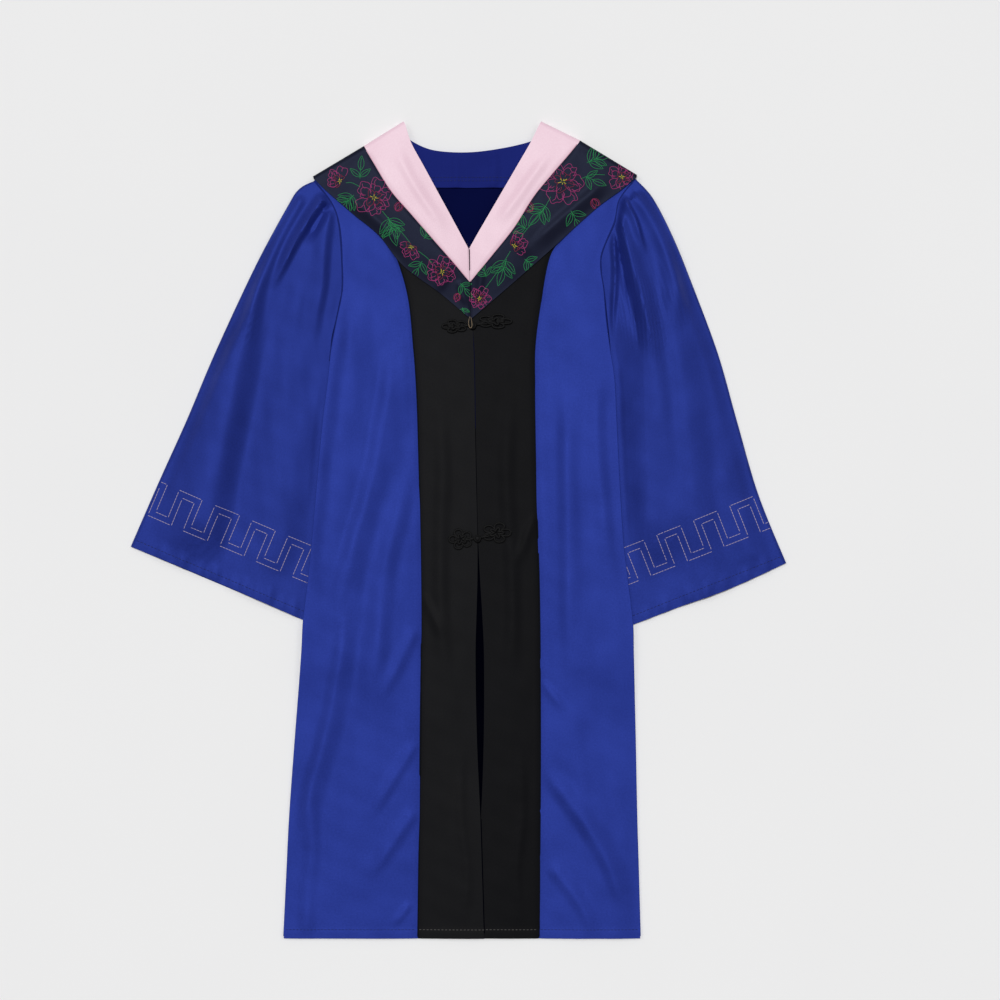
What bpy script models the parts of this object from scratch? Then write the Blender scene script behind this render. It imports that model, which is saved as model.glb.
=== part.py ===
"""A child's graduation gown with its hood, laid flat on its back.

The cloth lies on the XY plane: +Y runs from the hem to the neck, +X to the right of someone who looks
down on the gown's front, +Z away from the surface. Every sheet of cloth is a closed wall. Left and right
mean -X and +X. Sizes are in millimetres and become metres where a mesh is made.
"""

import math
from collections import namedtuple

import bmesh
import bpy
import numpy as np
from mathutils import Vector

# Driving dimensions, in millimetres
MM = 0.001
CLOTH = 1.2  # wall of one layer of cloth
LAY = 0.4  # air between two layers that lie on each other
SEAM = 0.3  # gap between two pieces that are sewn together
ARMHOLE_GAP = 0.6  # from the armhole's curve to the sleeve, so that straight edges still clear
AIR = 0.6  # how much the fronts float over the back, away from the side seams
AIR_FADE = 12.0  # distance from a side seam over which that float begins
ROW_STEP = 23.0  # distance between rows of points down the body
HOOD_AIR = 0.6  # how much the hood floats over the fronts
HOOD_CROWN = 2.6  # rise of the hood's soft middle
LAP = CLOTH + LAY  # lift of the left band where it laps over the right one
LAP_ABOVE = (34.0, 6.0)  # the left band climbs between these distances above the lap's first station
LAP_ACROSS = (-18.0, 4.0)  # and between these places along x
EDGE = 1.4  # round edge of a folded sleeve
SMALL_LIFT = 0.3  # gap under a frog
SHARP_ANGLE = 40.0  # edges sharper than this, in degrees, are shaded as edges

# Colours: base colour and roughness
BLUE = ((0.036, 0.072, 0.46, 1.0), 0.55)
BLACK = ((0.012, 0.013, 0.015, 1.0), 0.62)
FLORAL = ((0.020, 0.021, 0.032, 1.0), 0.42)
PINK = ((0.90, 0.62, 0.72, 1.0), 0.45)
CORD = ((0.008, 0.008, 0.010, 1.0), 0.70)

# The body from shoulder to hem: one row for each station, one column for each edge, as (x, y)
Body = namedtuple("Body", "left_side left_seam left_front right_front right_seam right_side")
BODY = [
    Body((-143.5, 349.0), (-92.5, 380.2), (-56.0, 402.7), (83.0, 403.0), (123.5, 381.5), (176.5, 351.0)),
    Body((-126.5, 327.0), (-90.5, 355.0), (-47.5, 383.0), (72.5, 383.0), (121.5, 355.0), (160.5, 330.0)),
    Body((-118.5, 304.0), (-82.5, 323.0), (-26.5, 340.0), (52.5, 340.0), (113.5, 323.0), (155.5, 308.0)),
    Body((-115.5, 268.0), (-71.5, 292.0), (-6.5, 298.0), (31.5, 298.0), (103.5, 295.0), (141.5, 272.0)),
    Body((-115.5, 238.0), (-59.5, 267.0), (6.0, 268.0), (17.5, 268.0), (90.5, 272.0), (144.5, 238.0)),
    Body((-121.0, 209.0), (-49.5, 230.0), (12.2, 230.0), (13.0, 230.0), (82.5, 230.0), (147.0, 209.0)),
    Body((-126.5, 180.0), (-44.5, 180.0), (15.2, 180.0), (15.8, 180.0), (76.5, 185.0), (151.0, 180.0)),
    Body((-129.9, 150.0), (-42.0, 145.0), (16.1, 145.0), (16.7, 145.0), (76.0, 145.0), (155.5, 150.0)),
    Body((-134.9, 110.0), (-40.5, 110.0), (16.5, 110.0), (17.1, 110.0), (76.3, 110.0), (157.5, 110.0)),
    Body((-140.5, 50.0), (-39.0, 50.0), (17.7, 50.0), (18.3, 50.0), (77.5, 50.0), (160.5, 50.0)),
    Body((-145.5, -8.0), (-37.8, -8.0), (19.0, -8.0), (19.6, -8.0), (79.3, -8.0), (164.0, -8.0)),
    Body((-149.5, -48.0), (-37.2, -48.0), (19.0, -48.0), (21.5, -48.0), (80.5, -48.0), (168.5, -48.0)),
    Body((-154.5, -90.0), (-36.9, -90.0), (17.9, -90.0), (24.0, -90.0), (81.2, -90.0), (173.5, -90.0)),
    Body((-156.5, -127.0), (-37.2, -127.0), (17.1, -130.0), (25.5, -130.0), (81.5, -127.0), (174.5, -127.0)),
    Body((-163.0, -209.0), (-38.1, -209.0), (18.5, -209.0), (25.2, -209.0), (81.8, -209.0), (176.5, -209.0)),
    Body((-168.5, -285.0), (-38.8, -285.0), (21.8, -285.0), (22.5, -285.0), (81.5, -285.0), (178.0, -285.0)),
    Body((-171.5, -346.0), (-39.7, -346.0), (23.7, -346.0), (18.0, -346.0), (81.0, -346.0), (179.8, -346.0)),
    Body((-174.5, -408.0), (-40.5, -408.0), (25.5, -408.0), (15.5, -408.0), (80.5, -408.0), (181.5, -408.0)),
]
UNDERARM = {"left": 4, "right": 3}  # station of the underarm on each side
LAP_STATION = 15  # station where the two bands start to lap
NECK_ROWS = 2.0  # the facing reaches down over this many stations
NECK_REACH = 5.0  # the curve of the back's top edge dies out over this many stations

# The back neck edge from the left shoulder to the right one
BACK_NECK = [
    (-56.0, 402.7), (-52.0, 394.5), (-46.5, 388.0), (-25.0, 379.3), (9.5, 377.2),
    (45.0, 381.5), (73.5, 388.5), (79.0, 394.5), (83.0, 403.0),
]

# Steps of the grids across each piece
FRONT_LEFT_COLUMNS = 8
FRONT_RIGHT_COLUMNS = 7
FRONT_BAND_COLUMNS = 4
SHOULDER_COLUMNS = 3
NECK_COLUMNS = 6
FACING_COLUMNS = 8
FACING_STATIONS = (0.0, 0.5, 1.0, 1.5, NECK_ROWS)
FACING_INSET = 0.8  # the facing's edge stands this far inside the neck's edge

# Sleeves: the fold that runs from the shoulder to the cuff, and the cuff's edge from the underarm seam out
SLEEVE_OUTER = {
    "left": [
        (-143.5, 349.0), (-158.5, 341.0), (-170.5, 323.5), (-204.5, 260.0), (-242.8, 178.0),
        (-271.5, 110.0), (-299.0, 49.0), (-327.5, -16.5),
    ],
    "right": [
        (176.5, 351.0), (194.0, 331.6), (212.5, 296.4), (231.0, 252.0), (258.7, 178.0),
        (278.0, 110.0), (299.5, 36.0), (327.5, -33.0),
    ],
}
SLEEVE_CUFF = {
    "left": [(-122.0, -103.5), (-154.5, -90.0), (-210.0, -65.5), (-267.5, -41.0), (-327.5, -16.5)],
    "right": [(142.0, -107.0), (174.5, -94.5), (219.3, -77.3), (271.0, -58.5), (327.5, -33.0)],
}
# The underarm seam, from the underarm to the cuff: along the body's side, then tucked in under it
SLEEVE_SEAM = {
    "left": [
        (-115.5, 238.0), (-121.4, 209.0), (-126.6, 180.0), (-127.5, 110.0), (-124.5, 0.0), (-122.0, -103.5),
    ],
    "right": [
        (141.5, 272.0), (145.2, 238.0), (147.6, 209.0), (151.0, 165.0), (149.0, 90.0), (145.0, 0.0),
        (142.0, -107.0),
    ],
}
SLEEVE_ROWS = 19
SLEEVE_CROWDING = 1.15  # above 1, the rows stand closer together near the armhole
ARMHOLE_POINTS = 13
SLEEVE_COLUMNS = (0.0, 0.15, 0.28, 0.37, 0.44) + tuple(0.5 + 0.05 * i for i in range(11))
SLEEVE_BACK_COLUMNS = (1.0, 0.72, 0.52, 0.44, 0.34, 0.17, 0.0)
TUCK = (0.17, 0.27)  # the sleeve is flat up to the first value, where the body lies on it
FOLD_END = (1.0, 0.95)  # the sleeve's folds flatten between these shares, next to the outer fold

# Folds of a sleeve: across is 0 at the underarm seam and 1 at the outer fold, along is 0 at the armhole
# and 1 at the cuff
SleeveFold = namedtuple("SleeveFold", "across_head across_cuff half_width height along_start along_end")
SLEEVE_FOLDS = {
    "left": [
        SleeveFold(0.55, 0.50, 0.050, 4.5, 0.03, 0.30),
        SleeveFold(0.65, 0.60, 0.050, 6.0, 0.02, 0.38),
        SleeveFold(0.75, 0.72, 0.050, 5.0, 0.01, 0.27),
        SleeveFold(0.85, 0.80, 0.050, 6.0, 0.01, 0.42),
        SleeveFold(0.95, 0.92, 0.045, 3.5, 0.01, 0.30),
        SleeveFold(0.90, 0.76, 0.115, 6.5, 0.18, 1.15),
        SleeveFold(0.62, 0.36, 0.150, 7.0, 0.10, 1.20),
        SleeveFold(0.42, 0.26, 0.090, 3.5, 0.02, 0.85),
    ],
    "right": [
        SleeveFold(0.55, 0.52, 0.050, 6.5, 0.02, 0.34),
        SleeveFold(0.65, 0.62, 0.050, 4.5, 0.02, 0.28),
        SleeveFold(0.75, 0.72, 0.050, 6.5, 0.01, 0.40),
        SleeveFold(0.85, 0.80, 0.050, 5.0, 0.01, 0.30),
        SleeveFold(0.95, 0.90, 0.045, 4.5, 0.01, 0.33),
        SleeveFold(0.47, 0.44, 0.085, 8.0, 0.02, 0.75),
        SleeveFold(0.82, 0.58, 0.135, 7.0, 0.15, 1.15),
        SleeveFold(0.93, 0.86, 0.070, 3.5, 0.35, 1.10),
    ],
}

# Soft folds of the fronts and bands, which run down the gown
FrontFold = namedtuple("FrontFold", "y_top y_bottom x_top x_middle x_bottom half_width height")
FRONT_FOLDS = [
    FrontFold(195.0, -235.0, -95.0, -116.0, -137.0, 24.0, 4.0),
    FrontFold(60.0, -400.0, -52.0, -80.0, -125.0, 27.0, 5.0),
    FrontFold(-130.0, -450.0, -44.0, -66.0, -84.0, 19.0, 3.5),
    FrontFold(170.0, -190.0, 117.0, 108.0, 120.0, 25.0, 3.5),
    FrontFold(-140.0, -440.0, 98.0, 132.0, 160.0, 20.0, 4.0),
    FrontFold(-250.0, -470.0, 90.0, 112.0, 135.0, 16.0, 3.0),
    FrontFold(-70.0, -450.0, -14.0, -12.0, -9.0, 18.0, 2.0),
    FrontFold(-90.0, -450.0, 55.0, 51.0, 54.0, 18.0, 2.2),
]
FOLD_FADE = 16.0  # folds flatten over this distance from a side seam

# Where the body climbs onto the sleeves that are tucked under it
Climb = namedtuple("Climb", "x_full x_none y_high_none y_high_full y_low_full y_low_none")
CLIMBS = [
    Climb(-102.0, -58.0, 236.0, 204.0, -130.0, -176.0),
    Climb(124.0, 82.0, 268.0, 234.0, -132.0, -178.0),
]
CLIMB_HEIGHT = 2 * CLOTH + 2 * LAY

# Where everything lies on the hood's back
HOOD_BACK_LIFT = CLOTH + LAY
HOOD_BACK_NONE = 234.0
HOOD_BACK_FULL = 270.0

# The hood: neck edge, seam between trim and band, outer edge. The first row is the shoulder's fold line.
Hood = namedtuple("Hood", "neck seam outer")
HOOD_FRONT = {
    "left": [
        Hood((-55.0, 408.0), (-94.5, 383.5), (-145.5, 353.0)),
        Hood((-47.9, 387.6), (-83.5, 365.0), (-130.5, 338.0)),
        Hood((-34.5, 363.0), (-67.5, 339.0), (-105.5, 315.5)),
        Hood((-18.5, 333.5), (-45.5, 313.5), (-79.5, 294.0)),
        Hood((-3.5, 306.0), (-21.5, 286.0), (-55.0, 263.5)),
        Hood((4.5, 291.0), (-3.5, 265.5), (-18.5, 236.5)),
        Hood((10.3, 280.4), (11.3, 248.0), (12.2, 210.5)),
    ],
    "right": [
        Hood((82.7, 408.0), (121.5, 389.0), (178.5, 354.5)),
        Hood((72.5, 387.6), (108.5, 373.0), (161.5, 339.5)),
        Hood((59.5, 365.0), (91.5, 353.0), (139.5, 322.5)),
        Hood((43.5, 337.5), (74.5, 332.0), (118.5, 304.0)),
        Hood((29.5, 313.5), (55.5, 302.0), (91.5, 279.0)),
        Hood((18.5, 294.5), (34.5, 275.5), (51.5, 244.0)),
        Hood((10.6, 280.4), (11.6, 248.0), (12.5, 210.5)),
    ],
}
HOOD_BACK = {
    "left": [
        Hood((-46.5, 380.0), (-60.5, 358.0), (-108.5, 325.0)),
        Hood((-21.5, 371.0), (-25.5, 343.0), (-53.5, 302.0)),
        Hood((11.3, 368.0), (11.3, 338.0), (11.3, 292.0)),
    ],
    "right": [
        Hood((71.5, 380.0), (86.5, 358.0), (139.5, 325.0)),
        Hood((44.5, 371.0), (49.5, 343.0), (76.5, 302.0)),
        Hood((11.6, 368.0), (11.6, 338.0), (11.6, 292.0)),
    ],
}
HOOD_FRONT_STEPS = 2  # rows of points for each row of the tables
HOOD_TURNS = 4  # steps round the shoulder's fold
TRIM_COLUMNS = 3
BAND_COLUMNS = 5
TRIM_SHARE = 0.42  # the trim's share of the hood's width
TURN_FRONT = 0.34  # share of the front's length that is drawn in to make room for the turn
TURN_BACK = 0.5  # the same for the back

# Frogs: centre of each flower, half its length and half its height
Frog = namedtuple("Frog", "name x y half_length half_height points_left")
FROGS = [
    Frog("frog_upper_left", -3.7, 203.5, 13.5, 7.4, True),
    Frog("frog_upper_right", 36.3, 208.4, 18.0, 8.0, False),
    Frog("frog_lower_left", 2.3, -9.0, 12.8, 11.0, True),
    Frog("frog_lower_right", 38.0, -2.5, 15.4, 11.0, False),
]
Knot = namedtuple("Knot", "name x y radius")
KNOTS = [
    Knot("frog_upper_knot", 14.0, 204.3, 3.8),
    Knot("frog_lower_knot", 19.0, -8.5, 3.5),
]
FROG_HEIGHT = 2.8
FROG_PETALS = 5
FROG_POINTS = 40
FROG_RINGS = ((0.30, 0.55), (0.62, 1.0), (0.88, 0.85))  # share of the radius, share of the height
FROG_FOOT = (1.0, 0.0)
FROG_RIM = (1.0, 0.5)
PETAL_DIP = 0.30  # how far the outline dips between two petals, as a share of the radius
PETAL_ROUNDNESS = 0.7  # below 1, the petals are fuller and the dips sharper
KNOT_SEGMENTS = (12, 8)
KNOT_SQUASH = 0.8
KNOT_FLAT = 0.45  # the ball is cut flat this share of its radius below its middle


# Curves and ramps


def smooth(value):
    """0 below 0, 1 above 1, and a soft S between."""
    value = min(max(value, 0.0), 1.0)
    return value * value * (3.0 - 2.0 * value)


def ramp(value, none, full):
    return smooth((value - none) / (full - none))


def curve_at(points, place):
    """A smooth curve through the points, at place 0 for the first and 1, 2, 3 for those after it."""
    points = np.asarray(points, float)
    last = len(points) - 1
    i = int(min(max(math.floor(place), 0), last - 1))
    f = place - i
    before, a, b, after = (points[min(max(i + k, 0), last)] for k in (-1, 0, 1, 2))
    into, out = (b - before) / 2.0, (after - a) / 2.0
    return (
        (2 * f**3 - 3 * f**2 + 1) * a
        + (f**3 - 2 * f**2 + f) * into
        + (3 * f**2 - 2 * f**3) * b
        + (f**3 - f**2) * out
    )


def path_through(points):
    """The smooth curve through the points, as a function that turns a share of its length into a point."""
    fine = np.array([curve_at(points, s) for s in np.linspace(0, len(points) - 1, 40 * len(points))])
    length = np.concatenate([[0.0], np.cumsum(np.linalg.norm(np.diff(fine, axis=0), axis=1))])
    return lambda share: np.array([np.interp(share * length[-1], length, fine[:, k]) for k in (0, 1)])


def evenly(points, count):
    path = path_through(points)
    return np.array([path(share) for share in np.linspace(0.0, 1.0, count)])


def beside(points, distance):
    """The same points, moved sideways from the line through them, to its right as it rises."""
    run = np.gradient(np.asarray(points, float), axis=0)
    run /= np.linalg.norm(run, axis=1)[:, None]
    return [p + distance * np.array((d[1], -d[0])) for p, d in zip(points, run)]


def column(name):
    return [getattr(row, name) for row in BODY]


def body_stations():
    """Station values of the rows of points, near ROW_STEP apart and closer round the armhole."""
    side = np.asarray(column("left_seam"), float)
    values = []
    for i in range(len(BODY) - 1):
        fewest = 2 if i < UNDERARM["right"] else 1
        steps = max(fewest, round(np.linalg.norm(side[i + 1] - side[i]) / ROW_STEP))
        values += [i + k / steps for k in range(steps)]
    return values + [len(BODY) - 1.0]


STATIONS = body_stations()


def edge_x(name, y):
    """Where an edge that runs down the body is at a given y."""
    edge = sorted((py, px) for px, py in column(name))
    return float(np.interp(y, [e[0] for e in edge], [e[1] for e in edge]))


# Heights of the layers over the surface


def hood_back_lift(y):
    return HOOD_BACK_LIFT * ramp(y, HOOD_BACK_NONE, HOOD_BACK_FULL)


def climb(x, y):
    """How far the body is lifted by the sleeves tucked under its sides."""
    return CLIMB_HEIGHT * max(
        ramp(x, c.x_none, c.x_full)
        * ramp(y, c.y_high_none, c.y_high_full)
        * ramp(y, c.y_low_none, c.y_low_full)
        for c in CLIMBS
    )


def from_side(x, y, distance):
    """0 at a side seam of the body, 1 from that distance inwards."""
    inside = min(x - edge_x("left_side", y), edge_x("right_side", y) - x)
    return smooth(inside / distance)


def bump(offset, half_width):
    """A round ridge: 1 on its crest, 0 from half_width out."""
    if abs(offset) >= half_width:
        return 0.0
    return math.cos(0.5 * math.pi * offset / half_width) ** 2


def front_folds(x, y):
    height = 0.0
    for fold in FRONT_FOLDS:
        share = (fold.y_top - y) / (fold.y_top - fold.y_bottom)
        if 0.0 < share < 1.0:
            crest = curve_at([(fold.x_top,), (fold.x_middle,), (fold.x_bottom,)], 2 * share)[0]
            height += fold.height * math.sin(math.pi * share) * bump(x - crest, fold.half_width)
    return height


def back_under(x, y):
    return hood_back_lift(y) + climb(x, y)


def front_under(x, y):
    lift = AIR * from_side(x, y, AIR_FADE) + front_folds(x, y) * from_side(x, y, FOLD_FADE)
    return back_under(x, y) + CLOTH + LAY + lift


def left_band_under(x, y):
    """The left band climbs onto the right one where it laps over it, near the hem."""
    lap_y = curve_at(column("left_front"), LAP_STATION)[1]
    down = ramp(y - lap_y, *LAP_ABOVE)
    return front_under(x, y) + LAP * down * ramp(x, *LAP_ACROSS)


def hood_under(y):
    return hood_back_lift(y) + 2 * CLOTH + 2 * LAY + AIR + HOOD_AIR


# Meshes


def material(name, finish):
    colour, roughness = finish
    made = bpy.data.materials.new(name)
    made.use_nodes = True
    shader = made.node_tree.nodes["Principled BSDF"]
    shader.inputs["Base Color"].default_value = colour
    shader.inputs["Roughness"].default_value = roughness
    shader.inputs["Metallic"].default_value = 0.0
    made.diffuse_color = colour
    return made


def add_object(name, points, faces, finish):
    """A closed mesh in metres, faces turned outwards, with its own material."""
    mesh = bpy.data.meshes.new(name)
    mesh.from_pydata([tuple(MM * value for value in p) for p in points], [], faces)
    made = bpy.data.objects.new(name, mesh)
    bpy.context.scene.collection.objects.link(made)
    shape = bmesh.new()
    shape.from_mesh(mesh)
    bmesh.ops.recalc_face_normals(shape, faces=shape.faces)
    shape.to_mesh(mesh)
    shape.free()
    mesh.materials.append(material(name, finish))
    mesh.shade_smooth()
    mesh.set_sharp_from_angle(angle=math.radians(SHARP_ANGLE))
    return made


def wall(name, outer, inner, finish):
    """A sheet of cloth between two grids of points that have the same rows and columns."""
    rows, columns = len(outer), len(outer[0])
    points = [p for row in outer for p in row] + [p for row in inner for p in row]
    back = rows * columns
    faces = []
    for i in range(rows - 1):
        for j in range(columns - 1):
            a, b = i * columns + j, (i + 1) * columns + j
            faces.append((a, a + 1, b + 1, b))
            faces.append((back + a, back + b, back + b + 1, back + a + 1))
    rim = list(range(columns))
    rim += [i * columns + columns - 1 for i in range(1, rows)]
    rim += [(rows - 1) * columns + j for j in range(columns - 2, -1, -1)]
    rim += [i * columns for i in range(rows - 2, 0, -1)]
    for a, b in zip(rim, rim[1:] + rim[:1]):
        faces.append((a, b, back + b, back + a))
    return add_object(name, points, faces, finish)


def laid_sheet(name, plan, under, finish):
    """A wall of cloth whose underside is at the height under(x, y)."""
    low = [[(x, y, under(x, y)) for x, y in row] for row in plan]
    high = [[(x, y, z + CLOTH) for x, y, z in row] for row in low]
    return wall(name, high, low, finish)


def ruled(first, second, columns, start=0.0, end=0.0):
    """Rows of points from one edge to the other, set in by start and end along x at the seams."""
    plan = []
    for a, b in zip(first, second):
        a = np.array([a[0] + start, a[1]])
        b = np.array([b[0] - end, b[1]])
        plan.append([a + (b - a) * j / columns for j in range(columns + 1)])
    return plan


# Pieces of the gown


def edge_points(name, stations):
    points = column(name)
    return [curve_at(points, s) for s in stations]


def front_panels():
    half = SEAM / 2
    left_edges = edge_points("left_side", STATIONS), edge_points("left_seam", STATIONS)
    left = ruled(*left_edges, FRONT_LEFT_COLUMNS, half, half)
    right_edges = edge_points("right_seam", STATIONS), edge_points("right_side", STATIONS)
    right = ruled(*right_edges, FRONT_RIGHT_COLUMNS, half, half)
    laid_sheet("front_left", left, front_under, BLUE)
    laid_sheet("front_right", right, front_under, BLUE)


def front_bands():
    half = SEAM / 2
    left_edges = edge_points("left_seam", STATIONS), edge_points("left_front", STATIONS)
    left = ruled(*left_edges, FRONT_BAND_COLUMNS, half, half)
    right_edges = edge_points("right_front", STATIONS), edge_points("right_seam", STATIONS)
    right = ruled(*right_edges, FRONT_BAND_COLUMNS, half, half)
    laid_sheet("band_left", left, left_band_under, BLACK)
    laid_sheet("band_right", right, front_under, BLACK)


def with_top_curve(plan, top, stations, reach):
    """Moves the first rows so that the topmost one follows a curve, less and less over reach stations."""
    shift = [np.asarray(t) - p for t, p in zip(top, plan[0])]
    moved = []
    for row, station in zip(plan, stations):
        left = max(0.0, 1.0 - station / reach)
        moved.append([p + s * left for p, s in zip(row, shift)])
    return moved


def back_panel():
    neck = evenly(BACK_NECK, NECK_COLUMNS + 1)
    tip_left, tip_right = np.array(BODY[0].left_side), np.array(BODY[0].right_side)
    shares = np.linspace(0.0, 1.0, SHOULDER_COLUMNS + 1)
    top = [tip_left + (neck[0] - tip_left) * share for share in shares[:-1]]
    top += list(neck)
    top += [neck[-1] + (tip_right - neck[-1]) * share for share in shares[1:]]
    columns = len(top) - 1
    plan = ruled(edge_points("left_side", STATIONS), edge_points("right_side", STATIONS), columns)
    plan = with_top_curve(plan, top, STATIONS, NECK_REACH)
    half = np.array((SEAM / 2, 0.0))
    plan = [[row[0] + half, *row[1:-1], row[-1] - half] for row in plan]
    laid_sheet("back_panel", plan, back_under, BLUE)


def neck_facing():
    edges = edge_points("left_front", FACING_STATIONS), edge_points("right_front", FACING_STATIONS)
    plan = ruled(*edges, FACING_COLUMNS, FACING_INSET, FACING_INSET)
    middle = BACK_NECK[len(BACK_NECK) // 2][0]
    neck = evenly(BACK_NECK, FACING_COLUMNS + 1)
    top = [(x + FACING_INSET * np.sign(middle - x), y - FACING_INSET) for x, y in neck]
    plan = with_top_curve(plan, top, FACING_STATIONS, NECK_ROWS)
    laid_sheet("neck_facing", plan, lambda x, y: back_under(x, y) + CLOTH + LAY, BLUE)


def sleeve_fold(side, across, along):
    """Height of the sleeve's folds at a place on its front wall."""
    height = 0.0
    for fold in SLEEVE_FOLDS[side]:
        share = (along - fold.along_start) / (fold.along_end - fold.along_start)
        if 0.0 < share < 1.0:
            crest = fold.across_head + (fold.across_cuff - fold.across_head) * along
            height += fold.height * math.sin(math.pi * share) * bump(across - crest, fold.half_width)
    return height * ramp(across, *TUCK) * ramp(across, *FOLD_END)


def sleeve(side):
    """A flattened tube: a front wall over a back wall, joined at the outer fold and the underarm seam."""
    stations = np.linspace(UNDERARM[side], 0.0, ARMHOLE_POINTS)
    out = -1 if side == "left" else 1
    armhole = beside(edge_points(side + "_side", stations), out * ARMHOLE_GAP)
    outer, cuff = [armhole[-1]] + SLEEVE_OUTER[side][1:], SLEEVE_CUFF[side]
    seam = [armhole[0]] + [(x + out * ARMHOLE_GAP, y) for x, y in SLEEVE_SEAM[side][1:-1]] + [cuff[0]]
    corners = np.array(armhole[0]), np.array(armhole[-1]), np.array(cuff[0]), np.array(cuff[-1])
    armhole_path, outer_path, cuff_path, seam_path = (path_through(p) for p in (armhole, outer, cuff, seam))

    def place(across, along):
        """A Coons patch between the armhole, the cuff, the underarm seam and the outer fold."""
        ends = (1 - along) * armhole_path(across) + along * cuff_path(across)
        sides = (1 - across) * seam_path(along) + across * outer_path(along)
        square = (1 - along) * ((1 - across) * corners[0] + across * corners[1])
        square = square + along * ((1 - across) * corners[2] + across * corners[3])
        return ends + sides - square

    outside, inside = [], []
    for i in range(SLEEVE_ROWS):
        along = (i / (SLEEVE_ROWS - 1)) ** SLEEVE_CROWDING
        first, last = place(0.0, along), place(1.0, along)
        inward = (last - first) / np.linalg.norm(last - first)

        def set_in(across, by):
            """The place, held off both folded edges by that distance."""
            spot = place(across, along)
            if across == 0.0:
                return spot + inward * by
            if across == 1.0:
                return spot - inward * by
            return spot

        out_row, in_row = [], []
        for across in SLEEVE_COLUMNS:
            x, y = set_in(across, EDGE)
            low = hood_back_lift(y) + CLOTH + LAY + sleeve_fold(side, across, along)
            out_row.append((x, y, low + CLOTH))
            x, y = set_in(across, EDGE + CLOTH)
            in_row.append((x, y, low))
        x, y = last
        out_row.append((x, y, hood_back_lift(y) + CLOTH + LAY / 2))
        x, y = last - inward * CLOTH
        in_row.append((x, y, hood_back_lift(y) + CLOTH + LAY / 2))
        for across in SLEEVE_BACK_COLUMNS:
            x, y = set_in(across, EDGE)
            out_row.append((x, y, hood_back_lift(y)))
            x, y = set_in(across, EDGE + CLOTH)
            in_row.append((x, y, hood_back_lift(y) + CLOTH))
        x, y = first
        out_row.append((x, y, hood_back_lift(y) + CLOTH + LAY / 2))
        x, y = first + inward * CLOTH
        in_row.append((x, y, hood_back_lift(y) + CLOTH + LAY / 2))
        outside.append(out_row)
        inside.append(in_row)

    ring = len(outside[0])
    points = [p for row in outside for p in row] + [p for row in inside for p in row]
    back = SLEEVE_ROWS * ring
    faces = []
    for i in range(SLEEVE_ROWS - 1):
        for j in range(ring):
            a, b = i * ring + j, i * ring + (j + 1) % ring
            faces.append((a, b, b + ring, a + ring))
            faces.append((back + a, back + a + ring, back + b + ring, back + b))
    for start in (0, (SLEEVE_ROWS - 1) * ring):
        for j in range(ring):
            a, b = start + j, start + (j + 1) % ring
            faces.append((a, b, back + b, back + a))
    add_object("sleeve_" + side, points, faces, BLUE)


def hood_rows(side, first, second):
    """The strip of the hood between two columns of its tables: front rows, the turn over the shoulder,
    back rows. Each row holds the strip's two edge points, and its height as a share of the turn."""
    names = (first, second)
    front, back = HOOD_FRONT[side], HOOD_BACK[side]
    steps = HOOD_FRONT_STEPS * (len(front) - 1)
    places = [i / HOOD_FRONT_STEPS for i in range(steps, -1, -1)]
    front_edges = [[curve_at([getattr(row, name) for row in front], s) for name in names] for s in places]
    all_back = [front[0]] + back
    steps = HOOD_FRONT_STEPS * (len(all_back) - 1)
    places = [i / HOOD_FRONT_STEPS for i in range(steps + 1)]
    back_edges = [[curve_at([getattr(row, name) for row in all_back], s) for name in names] for s in places]
    return front_edges, back_edges


def hood_strip(name, side, first, second, columns, share_from, share_to, finish):
    """One strip of the hood as a wall that turns round the shoulder's fold line."""
    neck, tip = np.array(HOOD_FRONT[side][0].neck), np.array(HOOD_FRONT[side][0].outer)
    line = (tip - neck) / np.linalg.norm(tip - neck)
    outward = np.array([line[1], -line[0]]) if side == "left" else np.array([-line[1], line[0]])
    top = hood_under(neck[1]) + CLOTH
    turn_outer, turn_inner = top / 2, top / 2 - CLOTH
    front, back = hood_rows(side, first, second)
    first_gap = SEAM / 2 if first == "seam" else 0.0
    second_gap = SEAM / 2 if second == "seam" else 0.0

    def across(edges, j):
        a, b = edges
        direction = (b - a) / np.linalg.norm(b - a)
        a, b = a + direction * first_gap, b - direction * second_gap
        return a + (b - a) * j / columns

    outer, inner = [], []
    for i, edges in enumerate(front):
        along = 1.0 - i / (len(front) - 1)
        pull = turn_outer * ramp(along, TURN_FRONT, 0.0)
        out_row, in_row = [], []
        for j in range(columns + 1):
            x, y = across(edges, j) - outward * pull
            wide = share_from + (share_to - share_from) * j / columns
            crown = HOOD_CROWN * math.sin(math.pi * along) * math.sin(math.pi * wide)
            low = hood_under(y) + crown
            out_row.append((x, y, low + CLOTH))
            in_row.append((x, y, low))
        outer.append(out_row)
        inner.append(in_row)
    for k in range(1, HOOD_TURNS):
        angle = math.pi * k / HOOD_TURNS
        out_row, in_row = [], []
        for j in range(columns + 1):
            centre = across(front[-1], j) - outward * turn_outer
            for row, radius in ((out_row, turn_outer), (in_row, turn_inner)):
                x, y = centre + outward * radius * math.sin(angle)
                row.append((x, y, turn_outer + radius * math.cos(angle)))
        outer.append(out_row)
        inner.append(in_row)
    for i, edges in enumerate(back):
        pull = turn_outer * ramp(i / (len(back) - 1), TURN_BACK, 0.0)
        plan = [across(edges, j) - outward * pull for j in range(columns + 1)]
        outer.append([(x, y, 0.0) for x, y in plan])
        inner.append([(x, y, CLOTH) for x, y in plan])
    wall(name, outer, inner, finish)


def hood():
    for side in ("left", "right"):
        hood_strip("hood_trim_" + side, side, "neck", "seam", TRIM_COLUMNS, 0.0, TRIM_SHARE, PINK)
        hood_strip("hood_band_" + side, side, "seam", "outer", BAND_COLUMNS, TRIM_SHARE, 1.0, FLORAL)


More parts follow.
